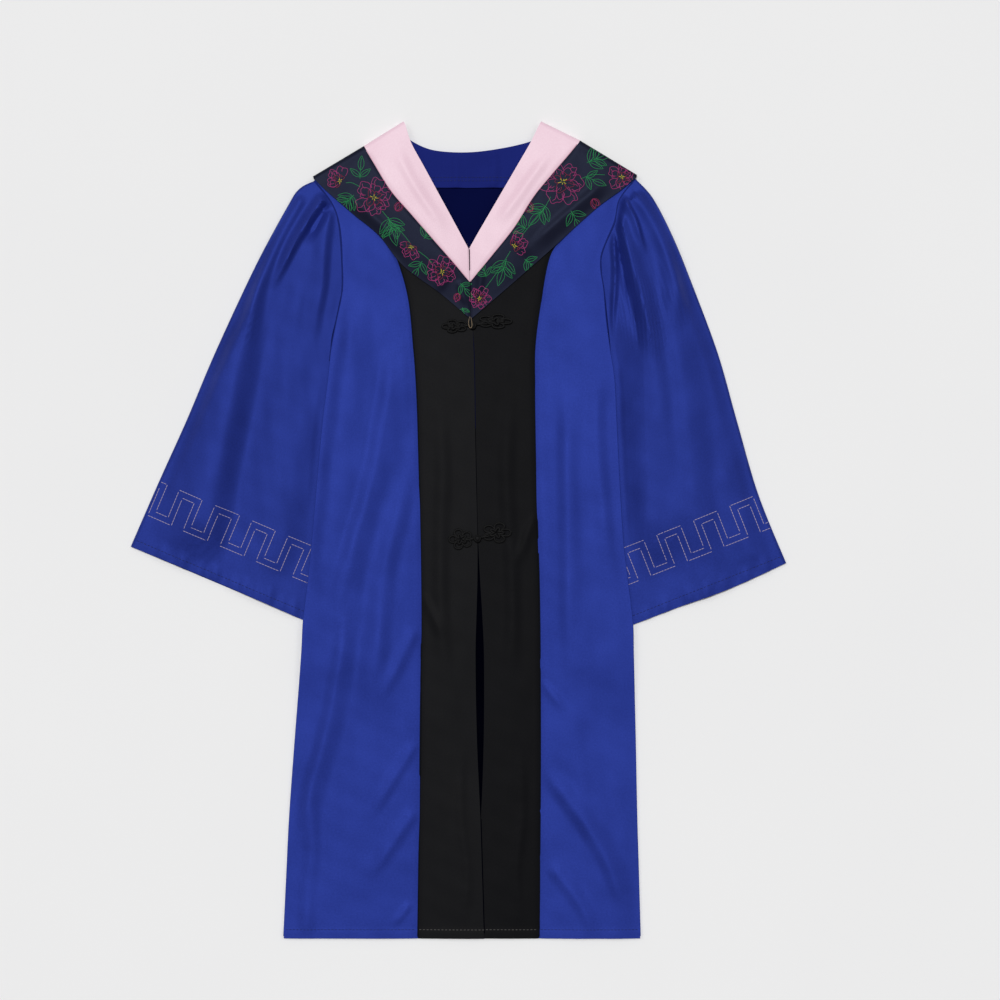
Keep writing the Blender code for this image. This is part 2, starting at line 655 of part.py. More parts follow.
def band_top(x, y):
    under = left_band_under if x < edge_x("left_front", y) else front_under
    return under(x, y) + CLOTH


def petal_radius(angle, frog):
    """Outline of a flower with round petals, longer than it is high."""
    turn = angle if frog.points_left else math.pi - angle
    lobe = 1.0 - PETAL_DIP + PETAL_DIP * abs(math.cos(0.5 * FROG_PETALS * turn)) ** PETAL_ROUNDNESS
    return frog.half_length * lobe * math.cos(angle), frog.half_height * lobe * math.sin(angle)


def frog_flower(frog):
    """A flower of corded petals, as one raised plate with a rounded rim."""
    floor = band_top(frog.x, frog.y) + SMALL_LIFT
    points = [(frog.x, frog.y, floor), (frog.x, frog.y, floor + FROG_HEIGHT / 2)]
    for share, height in (FROG_FOOT, *FROG_RINGS, FROG_RIM):
        for k in range(FROG_POINTS):
            dx, dy = petal_radius(2 * math.pi * k / FROG_POINTS, frog)
            points.append((frog.x + share * dx, frog.y + share * dy, floor + height * FROG_HEIGHT))
    faces = []
    for k in range(FROG_POINTS):
        after = (k + 1) % FROG_POINTS
        rings = [2 + r * FROG_POINTS for r in range(len(FROG_RINGS) + 2)]
        faces.append((0, rings[0] + after, rings[0] + k))
        faces.append((1, rings[1] + k, rings[1] + after))
        for low, high in list(zip(rings[1:], rings[2:])) + [(rings[-1], rings[0])]:
            faces.append((low + k, high + k, high + after, low + after))
    add_object(frog.name, points, faces, CORD)


def frog_knot(knot):
    """The ball of the knot that the loop goes round, flat where it lies on the band."""
    floor = band_top(knot.x, knot.y) + SMALL_LIFT
    shape = bmesh.new()
    around, high = KNOT_SEGMENTS
    bmesh.ops.create_uvsphere(shape, u_segments=around, v_segments=high, radius=knot.radius)
    flat = KNOT_FLAT * knot.radius
    for vertex in shape.verts:
        vertex.co.z = max(vertex.co.z * KNOT_SQUASH, -flat)
        vertex.co += Vector((knot.x, knot.y, floor + flat))
    mesh = bpy.data.meshes.new(knot.name)
    shape.to_mesh(mesh)
    shape.free()
    points = [tuple(v.co) for v in mesh.vertices]
    faces = [tuple(p.vertices) for p in mesh.polygons]
    bpy.data.meshes.remove(mesh)
    add_object(knot.name, points, faces, CORD)


def clear_scene():
    for existing in list(bpy.data.objects):
        bpy.data.objects.remove(existing, do_unlink=True)


def main():
    clear_scene()
    back_panel()
    neck_facing()
    front_panels()
    front_bands()
    sleeve("left")
    sleeve("right")
    hood()
    for frog in FROGS:
        frog_flower(frog)
    for knot in KNOTS:
        frog_knot(knot)


main()
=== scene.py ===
# %% [markdown]
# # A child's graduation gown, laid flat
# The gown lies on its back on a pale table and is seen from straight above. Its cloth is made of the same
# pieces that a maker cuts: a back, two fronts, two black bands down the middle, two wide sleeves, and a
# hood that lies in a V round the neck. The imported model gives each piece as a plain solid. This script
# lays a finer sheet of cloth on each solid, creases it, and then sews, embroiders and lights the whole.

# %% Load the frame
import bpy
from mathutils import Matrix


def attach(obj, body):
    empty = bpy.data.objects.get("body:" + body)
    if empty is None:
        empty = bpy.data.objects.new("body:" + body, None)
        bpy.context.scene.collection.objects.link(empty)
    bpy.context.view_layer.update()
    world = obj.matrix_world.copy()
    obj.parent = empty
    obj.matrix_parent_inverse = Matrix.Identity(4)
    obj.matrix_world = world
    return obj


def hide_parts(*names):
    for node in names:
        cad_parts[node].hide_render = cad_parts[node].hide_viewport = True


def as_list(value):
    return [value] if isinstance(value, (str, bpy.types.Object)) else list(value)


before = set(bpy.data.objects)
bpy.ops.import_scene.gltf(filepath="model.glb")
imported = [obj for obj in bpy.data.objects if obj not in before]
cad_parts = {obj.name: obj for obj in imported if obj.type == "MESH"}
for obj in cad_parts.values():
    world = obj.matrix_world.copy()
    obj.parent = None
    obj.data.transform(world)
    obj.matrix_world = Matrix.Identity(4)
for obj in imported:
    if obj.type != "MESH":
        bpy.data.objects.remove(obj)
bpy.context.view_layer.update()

# %% [markdown]
# The rest of the script works in millimetres, as a tailor would, and turns them into metres only where a
# mesh is made. One pixel of the photograph is one millimetre on the cloth, so places are easy to compare.

# %% Units and imports
import math
from collections import namedtuple

import bpy
import numpy as np
from mathutils.bvhtree import BVHTree

MM = 0.001
CLOTH = 1.2  # one layer of cloth with its turned edges
BODY = "root"
OUT = {"left": -1, "right": 1}  # the way along x that leads out from the body's middle

# %% [markdown]
# ## Camera
# A flat lay is photographed from straight above with a long lens, so that nothing leans. The camera hangs
# 2.4 m over the cloth and its lens takes in exactly one metre of the table.

# %% Camera
CAMERA_HEIGHT = 2.4
VIEW_WIDTH = 1.0
SENSOR = 36.0
VIEW_CENTRE = (0.0415, 0.030)

bpy.ops.object.select_all(action="DESELECT")
bpy.ops.object.camera_add(location=(*VIEW_CENTRE, CAMERA_HEIGHT), rotation=(0.0, 0.0, 0.0))
camera = bpy.context.object
camera.data.sensor_width = SENSOR
camera.data.lens = SENSOR * CAMERA_HEIGHT / VIEW_WIDTH
bpy.context.scene.camera = camera
print("lens", round(camera.data.lens, 1), "mm")

# %% [markdown]
# ## The paper pattern
# Each piece has a plan, as a paper pattern has. The first table holds the six edges that run down the
# body: side seam, band seam and front edge on the left, and the same on the right. A row is one station
# from the shoulder to the hem, and the curve between two stations is smooth.

# %% Edges of the body
Body = namedtuple("Body", "left_side left_seam left_front right_front right_seam right_side")
BODY_EDGES = [
    Body((-143.5, 349.0), (-92.5, 380.2), (-56.0, 402.7), (83.0, 403.0), (123.5, 381.5), (176.5, 351.0)),
    Body((-126.5, 327.0), (-90.5, 355.0), (-47.5, 383.0), (72.5, 383.0), (121.5, 355.0), (160.5, 330.0)),
    Body((-118.5, 304.0), (-82.5, 323.0), (-26.5, 340.0), (52.5, 340.0), (113.5, 323.0), (155.5, 308.0)),
    Body((-115.5, 268.0), (-71.5, 292.0), (-6.5, 298.0), (31.5, 298.0), (103.5, 295.0), (141.5, 272.0)),
    Body((-115.5, 238.0), (-59.5, 267.0), (6.0, 268.0), (17.5, 268.0), (90.5, 272.0), (144.5, 238.0)),
    Body((-121.0, 209.0), (-49.5, 230.0), (12.2, 230.0), (13.0, 230.0), (82.5, 230.0), (147.0, 209.0)),
    Body((-126.5, 180.0), (-44.5, 180.0), (15.2, 180.0), (15.8, 180.0), (76.5, 185.0), (151.0, 180.0)),
    Body((-129.9, 150.0), (-42.0, 145.0), (16.1, 145.0), (16.7, 145.0), (76.0, 145.0), (155.5, 150.0)),
    Body((-134.9, 110.0), (-40.5, 110.0), (16.5, 110.0), (17.1, 110.0), (76.3, 110.0), (157.5, 110.0)),
    Body((-140.5, 50.0), (-39.0, 50.0), (17.7, 50.0), (18.3, 50.0), (77.5, 50.0), (160.5, 50.0)),
    Body((-145.5, -8.0), (-37.8, -8.0), (19.0, -8.0), (19.6, -8.0), (79.3, -8.0), (164.0, -8.0)),
    Body((-149.5, -48.0), (-37.2, -48.0), (19.0, -48.0), (21.5, -48.0), (80.5, -48.0), (168.5, -48.0)),
    Body((-154.5, -90.0), (-36.9, -90.0), (17.9, -90.0), (24.0, -90.0), (81.2, -90.0), (173.5, -90.0)),
    Body((-156.5, -127.0), (-37.2, -127.0), (17.1, -130.0), (25.5, -130.0), (81.5, -127.0),
        (174.5, -127.0)),
    Body((-163.0, -209.0), (-38.1, -209.0), (18.5, -209.0), (25.2, -209.0), (81.8, -209.0),
        (176.5, -209.0)),
    Body((-168.5, -285.0), (-38.8, -285.0), (21.8, -285.0), (22.5, -285.0), (81.5, -285.0),
        (178.0, -285.0)),
    Body((-171.5, -346.0), (-39.7, -346.0), (23.7, -346.0), (18.0, -346.0), (81.0, -346.0),
        (179.8, -346.0)),
    Body((-174.5, -408.0), (-40.5, -408.0), (25.5, -408.0), (15.5, -408.0), (80.5, -408.0),
        (181.5, -408.0)),
]
BACK_NECK = [
    (-56.0, 402.7), (-52.0, 394.5), (-46.5, 388.0), (-25.0, 379.3), (9.5, 377.2),
    (45.0, 381.5), (73.5, 388.5), (79.0, 394.5), (83.0, 403.0),
]
FINE_STEPS = 40  # steps from one point to the next where the length of a curve is measured


def curve_at(points, places):
    """A smooth curve through the points, at place 0 for the first and 1, 2, 3 for those after it."""
    points = np.asarray(points, float)
    places = np.atleast_1d(places)
    last = len(points) - 1
    i = np.clip(np.floor(places).astype(int), 0, last - 1)
    f = (places - i)[:, None]
    before, a, b, after = (points[np.clip(i + k, 0, last)] for k in (-1, 0, 1, 2))
    into, out = (b - before) / 2, (after - a) / 2
    return (
        (2 * f**3 - 3 * f**2 + 1) * a + (f**3 - 2 * f**2 + f) * into
        + (3 * f**2 - 2 * f**3) * b + (f**3 - f**2) * out
    )


def travelled(points):
    """The way from the first point to each one."""
    return np.concatenate([[0.0], np.cumsum(np.linalg.norm(np.diff(points, axis=0), axis=1))])


def at_lengths(points, lengths):
    """The places that lie these lengths along a line of points."""
    way = travelled(points)
    return np.column_stack([np.interp(lengths, way, points[:, k]) for k in range(points.shape[1])])


def evenly(points, count):
    """That many points at even distances along the smooth curve."""
    fine = curve_at(points, np.linspace(0, len(points) - 1, FINE_STEPS * len(points)))
    return at_lengths(fine, np.linspace(0.0, travelled(fine)[-1], count))


def body_edge(name, places):
    return curve_at([getattr(row, name) for row in BODY_EDGES], places)


print("pattern:", len(BODY_EDGES), "stations")

# %% [markdown]
# ## From the plan to a sheet of cloth
# A sheet starts as Blender's grid primitive. Every point of the grid is moved to its place on the plan,
# and a ray shot straight down finds how high the solid is there. The solids have coarse facets, so the
# heights are averaged a few times with their neighbours. The Solidify modifier then gives the sheet its
# thickness.

# %% Sheets on the solids
ROW = 2.6  # distance between rows of points
RAY_START = 1.0  # metres over or under the table
NEAR_START = 0.02  # the same, for a place beside the solid, which takes the height of the nearest point
SIDE_INSET = 0.4  # rays start this far in from an edge, so that none misses the solid
LEAST_SHARE = 0.5  # a narrow row is not drawn in to less than this share of its width
SMOOTH_ANGLE = math.radians(50)  # edges sharper than this are shaded as edges

trees = {}


def tree_of(name):
    """The node's triangles, ready for rays."""
    if name not in trees:
        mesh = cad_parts[name].data
        faces = [tuple(p.vertices) for p in mesh.polygons]
        trees[name] = BVHTree.FromPolygons([v.co for v in mesh.vertices], faces)
    return trees[name]


def solid_height(name, plan, side=1, rim=2):
    """Height of the solid's top, or of its underside for side -1, over each point of the plan.

    The first and last rows may lie just past the solid, so they take the height of a row further in.
    """
    tree = tree_of(name)
    heights = np.empty(plan.shape[:-1])
    for place in np.ndindex(*heights.shape):
        x, y = plan[place] * MM
        hit = tree.ray_cast((x, y, side * RAY_START), (0.0, 0.0, -side))[0]
        if hit is None:
            hit = tree.find_nearest((x, y, side * NEAR_START))[0]
        heights[place] = hit.z / MM
    heights[:rim], heights[-rim:] = heights[rim], heights[-rim - 1]
    return heights


def averaged(heights, times):
    """Each height with its neighbours, that many times. The rim keeps its own side's heights."""
    for _ in range(times):
        for axis in (0, 1):
            wide = np.pad(heights, [(1, 1) if axis == k else (0, 0) for k in (0, 1)], mode="edge")
            first = wide[:-2] if axis == 0 else wide[:, :-2]
            last = wide[2:] if axis == 0 else wide[:, 2:]
            heights = (first + 2 * heights + last) / 4
    return heights


def select_only(piece):
    bpy.ops.object.select_all(action="DESELECT")
    piece.select_set(True)
    bpy.context.view_layer.objects.active = piece


def mend(piece, merge=None):
    """Merges points closer than a distance, if one is given, and turns every face outward."""
    select_only(piece)
    bpy.ops.object.mode_set(mode="EDIT")
    bpy.ops.mesh.select_all(action="SELECT")
    if merge:
        bpy.ops.mesh.remove_doubles(threshold=merge)
    bpy.ops.mesh.normals_make_consistent(inside=False)
    bpy.ops.object.mode_set(mode="OBJECT")


def grid_sheet(name, plan, heights):
    """A grid primitive with its points moved to the plan. Its UV map is the cloth itself, in metres."""
    rows, columns = heights.shape
    bpy.ops.object.select_all(action="DESELECT")
    bpy.ops.mesh.primitive_grid_add(x_subdivisions=columns - 1, y_subdivisions=rows - 1, size=1.0)
    piece = bpy.context.object
    piece.name = piece.data.name = name
    mesh = piece.data
    flat = np.empty(3 * len(mesh.vertices))
    mesh.vertices.foreach_get("co", flat)
    flat = flat.reshape(-1, 3)
    column = np.rint((flat[:, 0] + 0.5) * (columns - 1)).astype(int)
    row = np.rint((0.5 - flat[:, 1]) * (rows - 1)).astype(int)
    points = np.dstack([plan, heights]) * MM
    mesh.vertices.foreach_set("co", points[row, column].ravel())
    across = np.linalg.norm(np.diff(points, axis=1), axis=2).mean(axis=0)
    down = np.linalg.norm(np.diff(points, axis=0), axis=2).mean(axis=1)
    u = np.concatenate([[0.0], np.cumsum(across)])[column]
    v = -np.concatenate([[0.0], np.cumsum(down)])[row]
    corner = np.empty(len(mesh.loops), int)
    mesh.loops.foreach_get("vertex_index", corner)
    mesh.uv_layers[0].data.foreach_set("uv", np.column_stack([u, v])[corner].ravel())
    mesh.update()
    return piece


def thicken(piece, thickness=CLOTH):
    """A wall under the sheet, so that it has a real edge."""
    select_only(piece)
    wall = piece.modifiers.new("Cloth", "SOLIDIFY")
    wall.thickness = thickness * MM
    wall.offset = -1.0
    bpy.ops.object.modifier_apply(modifier=wall.name)
    bpy.ops.object.shade_smooth_by_angle(angle=SMOOTH_ANGLE)
    print(piece.name, "has", len(piece.data.polygons), "faces")
    return piece


def inset(plan):
    """The plan drawn in a little at its sides, for rays."""
    middle = plan.mean(axis=1, keepdims=True)
    width = np.linalg.norm(plan[:, -1:] - plan[:, :1], axis=2, keepdims=True)
    return middle + (plan - middle) * np.clip(1 - 2 * SIDE_INSET / np.maximum(width, 1.0), LEAST_SHARE, 1.0)


# %% [markdown]
# ## Creases
# Cloth that was folded and then laid down by hand keeps long soft ridges and a few sharper pleats. Each
# one is drawn as a line of points on the plan, with its own width on each side, so that one flank is
# steeper than the other, and its own height. A trough has a height below zero. Two more numbers say how
# quickly it begins and ends, and the last one how sharp its crest is.

# %% How a crease shapes the cloth
Crease = namedtuple("Crease", "height left right begin end crest points")


def smooth(value):
    value = np.clip(value, 0.0, 1.0)
    return value * value * (3 - 2 * value)


def crease_heights(plan, creases):
    """Sum of the creases over each point of the plan."""
    total = np.zeros(plan.shape[:-1])
    places = plan.reshape(-1, 2)
    for crease in creases:
        line = evenly(crease.points, 60)
        reach = max(crease.left, crease.right)
        near = np.all((places > line.min(axis=0) - reach) & (places < line.max(axis=0) + reach), axis=1)
        index = np.flatnonzero(near)
        if not len(index):
            continue
        apart = places[index, None] - line[None]
        distance = np.linalg.norm(apart, axis=2)
        nearest = distance.argmin(axis=1)
        run = np.gradient(line, axis=0)[nearest]
        offset = apart[np.arange(len(index)), nearest]
        on_left = run[:, 0] * offset[:, 1] - run[:, 1] * offset[:, 0] > 0
        t = np.clip(distance.min(axis=1) / np.where(on_left, crease.left, crease.right), 0.0, 1.0)
        profile = (1 - crease.crest) * np.cos(0.5 * np.pi * t) ** 2 + crease.crest * (1 - t) ** 2
        share = nearest / (len(line) - 1)
        fade = smooth(share / max(crease.begin, 1e-3)) * smooth((1 - share) / max(crease.end, 1e-3))
        flat = total.reshape(-1)
        flat[index] += crease.height * profile * fade
    return total


def unevenness(plan, size):
    """The slight waviness of cloth that has been folded: a few slow waves that cross, 0 to size high."""
    waves = ((61.0, 0.35, 0.4), (43.0, 1.9, 1.3), (31.0, 2.7, 2.2), (23.0, 1.1, 0.7), (17.0, 0.1, 3.1))
    total = np.zeros(plan.shape[:-1])
    for length, turn, start in waves:
        along = plan[..., 0] * math.cos(turn) + plan[..., 1] * math.sin(turn)
        total += np.sin(2 * np.pi * along / length + start)
    return size * (0.5 + 0.5 * total / len(waves))


# %% [markdown]
# ## Back, facing and fronts
# The back is one panel, cut in a curve at the neck, and the facing is the strip that finishes the neck
# inside. The fronts are ruled from the side seam to the band seam and the bands from there to the front
# edge. Where a sheet meets a seam it dips a little, because the stitches pull it down, and the turned hem
# stands a little proud. The creases are read from the photograph, left front first.

# %% Creases of the fronts and bands
SEAM_DIP = 0.7
SEAM_DIP_WIDTH = 4.0
HEM = 9.0  # depth of the turned hem
HEM_RISE = 0.35
FRONT_LEFT_CREASES = [
    Crease(4.2, 30, 15, 0.25, 0.30, 0.2, [(-62, 205), (-72, 120), (-88, 40), (-108, -30), (-128, -110)]),
    Crease(3.2, 16, 20, 0.30, 0.30, 0.1, [(-48, 90), (-58, 30), (-74, -40), (-82, -120), (-98, -200)]),
    Crease(4.0, 20, 12, 0.25, 0.25, 0.3, [(-112, -70), (-118, -130), (-132, -200), (-150, -270),
        (-156, -330)]),
    Crease(1.6, 9, 14, 0.10, 0.45, 0.4, [(-41, -98), (-52, -120), (-66, -148), (-84, -176)]),
    Crease(1.7, 8, 13, 0.10, 0.40, 0.4, [(-41, -212), (-54, -232), (-70, -258), (-90, -292)]),
    Crease(2.0, 9, 16, 0.10, 0.40, 0.4, [(-41, -280), (-56, -300), (-74, -326), (-94, -352)]),
    Crease(1.6, 5, 7, 0.15, 0.35, 0.5, [(-48, -372), (-56, -384), (-66, -396)]),
    Crease(3.0, 26, 14, 0.25, 0.15, 0.1, [(-104, 250), (-108, 190), (-120, 110), (-132, 10), (-140, -70)]),
    Crease(2.0, 12, 12, 0.30, 0.10, 0.2, [(-150, -250), (-146, -310), (-150, -360), (-152, -408)]),
]
FRONT_RIGHT_CREASES = [
    Crease(2.2, 16, 11, 0.25, 0.35, 0.2, [(108, 150), (107, 60), (109, -30), (110, -150)]),
    Crease(3.6, 18, 12, 0.20, 0.25, 0.3, [(84, -236), (104, -264), (128, -296), (152, -338), (170, -392)]),
    Crease(2.2, 12, 16, 0.25, 0.35, 0.2, [(140, 160), (138, 90), (144, 20), (150, -60)]),
    Crease(2.4, 14, 10, 0.20, 0.30, 0.3, [(86, -330), (104, -350), (124, -378), (136, -408)]),
    Crease(1.6, 6, 9, 0.15, 0.45, 0.5, [(82, -150), (94, -164), (110, -182)]),
]
BAND_LEFT_CREASES = [
    Crease(1.6, 12, 12, 0.3, 0.3, 0.2, [(-22, 150), (-16, 60), (-18, -60), (-12, -180)]),
    Crease(1.2, 7, 10, 0.2, 0.4, 0.4, [(-38, -60), (-26, -84), (-14, -112)]),
    Crease(0.8, 8, 8, 0.3, 0.2, 0.3, [(4, -210), (2, -280), (8, -340), (6, -400)]),
]
FACING_CREASES = [
    Crease(1.8, 8, 11, 0.15, 0.10, 0.2, [(34, 379), (36, 362), (34, 340)]),
    Crease(1.2, 9, 7, 0.15, 0.10, 0.2, [(-4, 377), (-2, 360), (-3, 340)]),
]
BAND_RIGHT_CREASES = [
    Crease(1.6, 12, 12, 0.3, 0.3, 0.2, [(52, 160), (48, 60), (54, -60), (50, -180)]),
    Crease(1.2, 10, 7, 0.2, 0.4, 0.4, [(80, 20), (68, -6), (56, -40)]),
    Crease(0.8, 8, 8, 0.3, 0.2, 0.3, [(60, -200), (64, -280), (58, -340), (62, -400)]),
]
print("creases of the fronts:", len(FRONT_LEFT_CREASES), "left,", len(FRONT_RIGHT_CREASES), "right")

# %% Cut the body
NECK_STATIONS = 2.0  # the facing reaches down over this many stations
BACK_REACH = 190.0  # how far down the curve of the neck is still felt in the rows of the back
FACING_REACH = 62.0  # and of the facing
FACING_SHARE = 0.985  # the facing ends just inside the neck's edge
NECK_RIM = 6  # rows at the neck that take the height of a row further in
FRONT_CALM = 30  # how often the heights are averaged
BACK_CALM = 12
EDGE_CALM = 14.0  # the cloth loses its waviness this close to an edge
SEAM_HOLD = 0.35  # share of a crease's height that is left at a seam
SEAM_HOLD_WIDTH = 10.0
HEM_STEP = 1.5  # the turned hem rises over this distance


def stations(first, last):
    """Places down the body, one row of points every ROW millimetres."""
    fine = np.linspace(first, last, 2000)
    way = travelled(body_edge("left_seam", fine))
    return np.interp(np.arange(0.0, way[-1] + 0.5 * ROW, ROW).clip(0, way[-1]), way, fine)


def ruled(first, last, columns):
    share = np.linspace(0.0, 1.0, columns)[None, :, None]
    return first[:, None] * (1 - share) + last[:, None] * share


def from_edge(plan, column):
    """Distance of each point of the plan from one of its side edges."""
    return np.linalg.norm(plan - plan[:, column][:, None], axis=2)


def front_sheet(name, first, last, columns, creases, sewn, wave):
    """A panel of the front from one long edge to another. sewn is the column along its seam."""
    rows = stations(0.0, len(BODY_EDGES) - 1.0)
    plan = ruled(body_edge(first, rows), body_edge(last, rows), columns)
    heights = averaged(solid_height(name, inset(plan)), FRONT_CALM)
    heights -= SEAM_DIP * (1 - smooth(from_edge(plan, sewn) / SEAM_DIP_WIDTH))
    hold = SEAM_HOLD + (1 - SEAM_HOLD) * smooth(from_edge(plan, sewn) / SEAM_HOLD_WIDTH)
    calm = smooth(from_edge(plan, 0) / EDGE_CALM) * smooth(from_edge(plan, -1) / EDGE_CALM)
    heights += crease_heights(plan, creases) * hold + unevenness(plan, wave) * calm
    hem = BODY_EDGES[-1].left_side[1] + HEM
    heights += HEM_RISE * smooth((hem - plan[..., 1]) / HEM_STEP)
    return thicken(grid_sheet(name + "_cloth", plan, heights))


front_left = front_sheet("front_left", "left_side", "left_seam", 52, FRONT_LEFT_CREASES, -1, 0.7)
front_right = front_sheet("front_right", "right_seam", "right_side", 44, FRONT_RIGHT_CREASES, 0, 0.7)
band_left = front_sheet("band_left", "left_seam", "left_front", 28, BAND_LEFT_CREASES, 0, 0.5)
band_right = front_sheet("band_right", "right_front", "right_seam", 28, BAND_RIGHT_CREASES, -1, 0.5)


def shaped_top(plan, top, reach):
    """Moves the first rows so that the topmost follows a curve. The shift dies out over the reach."""
    down = np.linalg.norm(plan - plan[0], axis=2)[..., None]
    return plan + (top - plan[0]) * np.clip(1 - down / reach, 0.0, 1.0)


NECK_POINTS = 49
SHOULDER_POINTS = 25  # on each shoulder, with the corner that it shares with the neck
WHOLE_BACK = NECK_POINTS + 2 * (SHOULDER_POINTS - 1)  # columns of the back
FACING_COLUMNS = 61


def back_and_facing():
    rows = stations(0.0, len(BODY_EDGES) - 1.0)[::2]
    plan = ruled(body_edge("left_side", rows), body_edge("right_side", rows), WHOLE_BACK)
    left_tip, right_tip = plan[0, 0], plan[0, -1]
    neck = evenly(BACK_NECK, NECK_POINTS)
    shoulder = np.linspace(0.0, 1.0, SHOULDER_POINTS)[:-1, None]
    top = np.vstack([
        left_tip + (neck[0] - left_tip) * shoulder, neck,
        (neck[-1] + (right_tip - neck[-1]) * (1 - shoulder))[::-1],
    ])
    plan = shaped_top(plan, top, BACK_REACH)
    heights = averaged(solid_height("back_panel", inset(plan), rim=NECK_RIM), BACK_CALM)
    back = thicken(grid_sheet("back_cloth", plan, heights))
    rows = stations(0.0, NECK_STATIONS)
    plan = ruled(body_edge("left_front", rows), body_edge("right_front", rows), FACING_COLUMNS)
    plan = shaped_top(plan, evenly(BACK_NECK, FACING_COLUMNS), FACING_REACH)
    middle = plan.mean(axis=(0, 1))
    plan = middle + (plan - middle) * FACING_SHARE
    heights = averaged(solid_height("neck_facing", inset(plan), rim=NECK_RIM), BACK_CALM)
    heights += crease_heights(plan, FACING_CREASES) + unevenness(plan, 0.4)
    return back, thicken(grid_sheet("neck_facing_cloth", plan, heights))


back, facing = back_and_facing()

# %% [markdown]
# ## Sleeves
# A wide sleeve laid flat is a tube pressed together: a front wall, a soft fold along the outer edge, and
# a back wall on the table. The grid is wrapped round once, and the column where it meets itself is
# merged. The head of the sleeve is gathered into the armhole, so its pleats start there, sharp and close
# together, and open out into long soft folds on the way to the cuff.

# %% Edges of the sleeves
ARMHOLE_GAP = 0.6
FOLD = 1.4  # radius of the soft fold along the outer edge
UNDERARM = {"left": 4, "right": 3}
SLEEVE_OUTER = {
    "left": [
        (-143.5, 349.0), (-158.5, 341.0), (-170.5, 323.5), (-204.5, 260.0), (-242.8, 178.0),
        (-271.5, 110.0), (-299.0, 49.0), (-327.5, -16.5),
    ],
    "right": [
        (176.5, 351.0), (194.0, 331.6), (212.5, 296.4), (231.0, 252.0), (258.7, 178.0),
        (278.0, 110.0), (299.5, 36.0), (327.5, -33.0),
    ],
}
SLEEVE_CUFF = {
    "left": [(-122.0, -103.5), (-154.5, -90.0), (-210.0, -65.5), (-267.5, -41.0), (-327.5, -16.5)],
    "right": [(142.0, -107.0), (174.5, -94.5), (219.3, -77.3), (271.0, -58.5), (327.5, -33.0)],
}
SLEEVE_SEAM = {
    "left": [
        (-115.5, 238.0), (-121.4, 209.0), (-126.6, 180.0), (-127.5, 110.0), (-124.5, 0.0), (-122.0, -103.5),
    ],
    "right": [
        (141.5, 272.0), (142.0, 255.0), (144.4, 238.0), (147.6, 209.0), (151.0, 165.0), (149.0, 90.0),
        (145.0, 0.0), (142.0, -107.0),
    ],
}
SLEEVE_LEFT_CREASES = [
    Crease(9.0, 14, 24, 0.05, 0.30, 0.1, [(-160, 338), (-171, 318), (-181, 300), (-193, 270),
        (-203, 240), (-208, 205), (-212, 180)]),
    Crease(8.6, 26, 64, 0.20, 0.20, 0.0, [(-211, 226), (-218, 180), (-227, 130), (-240, 60), (-250, 0),
        (-256, -40)]),
    Crease(6.5, 5, 12, 0.02, 0.40, 0.5, [(-131, 333), (-146, 312), (-161, 287), (-178, 255), (-187, 238)]),
    Crease(-5.5, 10, 8, 0.08, 0.50, 0.3, [(-128, 328), (-139, 311), (-149, 295), (-157, 281)]),
    Crease(3.8, 8, 16, 0.03, 0.45, 0.2, [(-127, 322), (-131, 300), (-133, 282), (-136, 245),
        (-141, 215), (-146, 180)]),
    Crease(1.8, 3, 3, 0.20, 0.20, 0.5, [(-136, 317), (-131, 321), (-125, 322)]),
    Crease(2.4, 24, 30, 0.30, 0.15, 0.1, [(-150, 150), (-158, 90), (-170, 20), (-180, -50)]),
]
SLEEVE_RIGHT_CREASES = [
    Crease(8.5, 30, 20, 0.01, 0.35, 0.9, [(157, 328), (164, 300), (170, 275), (176, 250), (183, 227),
        (190, 195), (196, 165)]),
    Crease(-4.5, 9, 8, 0.05, 0.40, 0.8, [(153, 322), (156, 300), (161, 275), (166, 250), (172, 227),
        (178, 195), (184, 165)]),
    Crease(9.0, 120, 28, 0.30, 0.20, 0.2, [(163, 264), (174, 224), (182, 182), (184, 140), (185, 95),
        (188, 50), (193, 0), (198, -48)]),
    Crease(5.0, 4, 9, 0.02, 0.45, 0.5, [(163, 335), (169, 323), (176, 310), (181, 293), (187, 272)]),
    Crease(7.0, 19, 22, 0.04, 0.30, 0.2, [(180, 341), (196, 318), (209, 292), (216, 262), (219, 230),
        (220, 196)]),
    Crease(3.5, 5, 5, 0.10, 0.40, 0.4, [(154, 304), (156, 272), (156, 242), (154, 215), (153, 180)]),
    Crease(2.4, 22, 24, 0.30, 0.15, 0.1, [(258, 90), (272, 40), (286, -5), (297, -42)]),
]
CUFF_PUCKERS = {  # x, y and strength of each small dent in the cuff
    "left": [
        (-296, -24, 4.0), (-276, -32, 5.0), (-258, -42, 3.5), (-243, -44, 6.0), (-226, -54, 4.5),
        (-214, -57, 5.5), (-201, -64, 3.5), (-189, -67, 5.0), (-176, -75, 4.0), (-164, -80, 4.5),
    ],
    "right": [
        (306, -36, 4.0), (287, -46, 4.5), (266, -54, 3.0), (248, -62, 4.5), (230, -67, 3.5),
        (206, -78, 4.0), (188, -86, 3.0),
    ],
}

# %% Wrap the sleeves
FRONT_COLUMNS = 84
BACK_COLUMNS = 22
SLEEVE_ROW_COUNT = 150
SLEEVE_CALM = 60  # so that only the creases drawn here stay sharp
SLEEVE_WALL = 0.8
ARMHOLE_POINTS = 13
BODY_CLEAR = (1.5, 8.0)  # the creases begin this far beyond the body's edge, and grow over this width
FOLD_CLEAR = 16.0  # and they die out this close to the outer fold
PUCKER_SHARE = 0.32
PUCKER_REACH = 9.0
PUCKER_LENGTH = 0.6  # below 1, a pucker is longer up the sleeve than along the cuff
MERGE = 0.00001  # metres


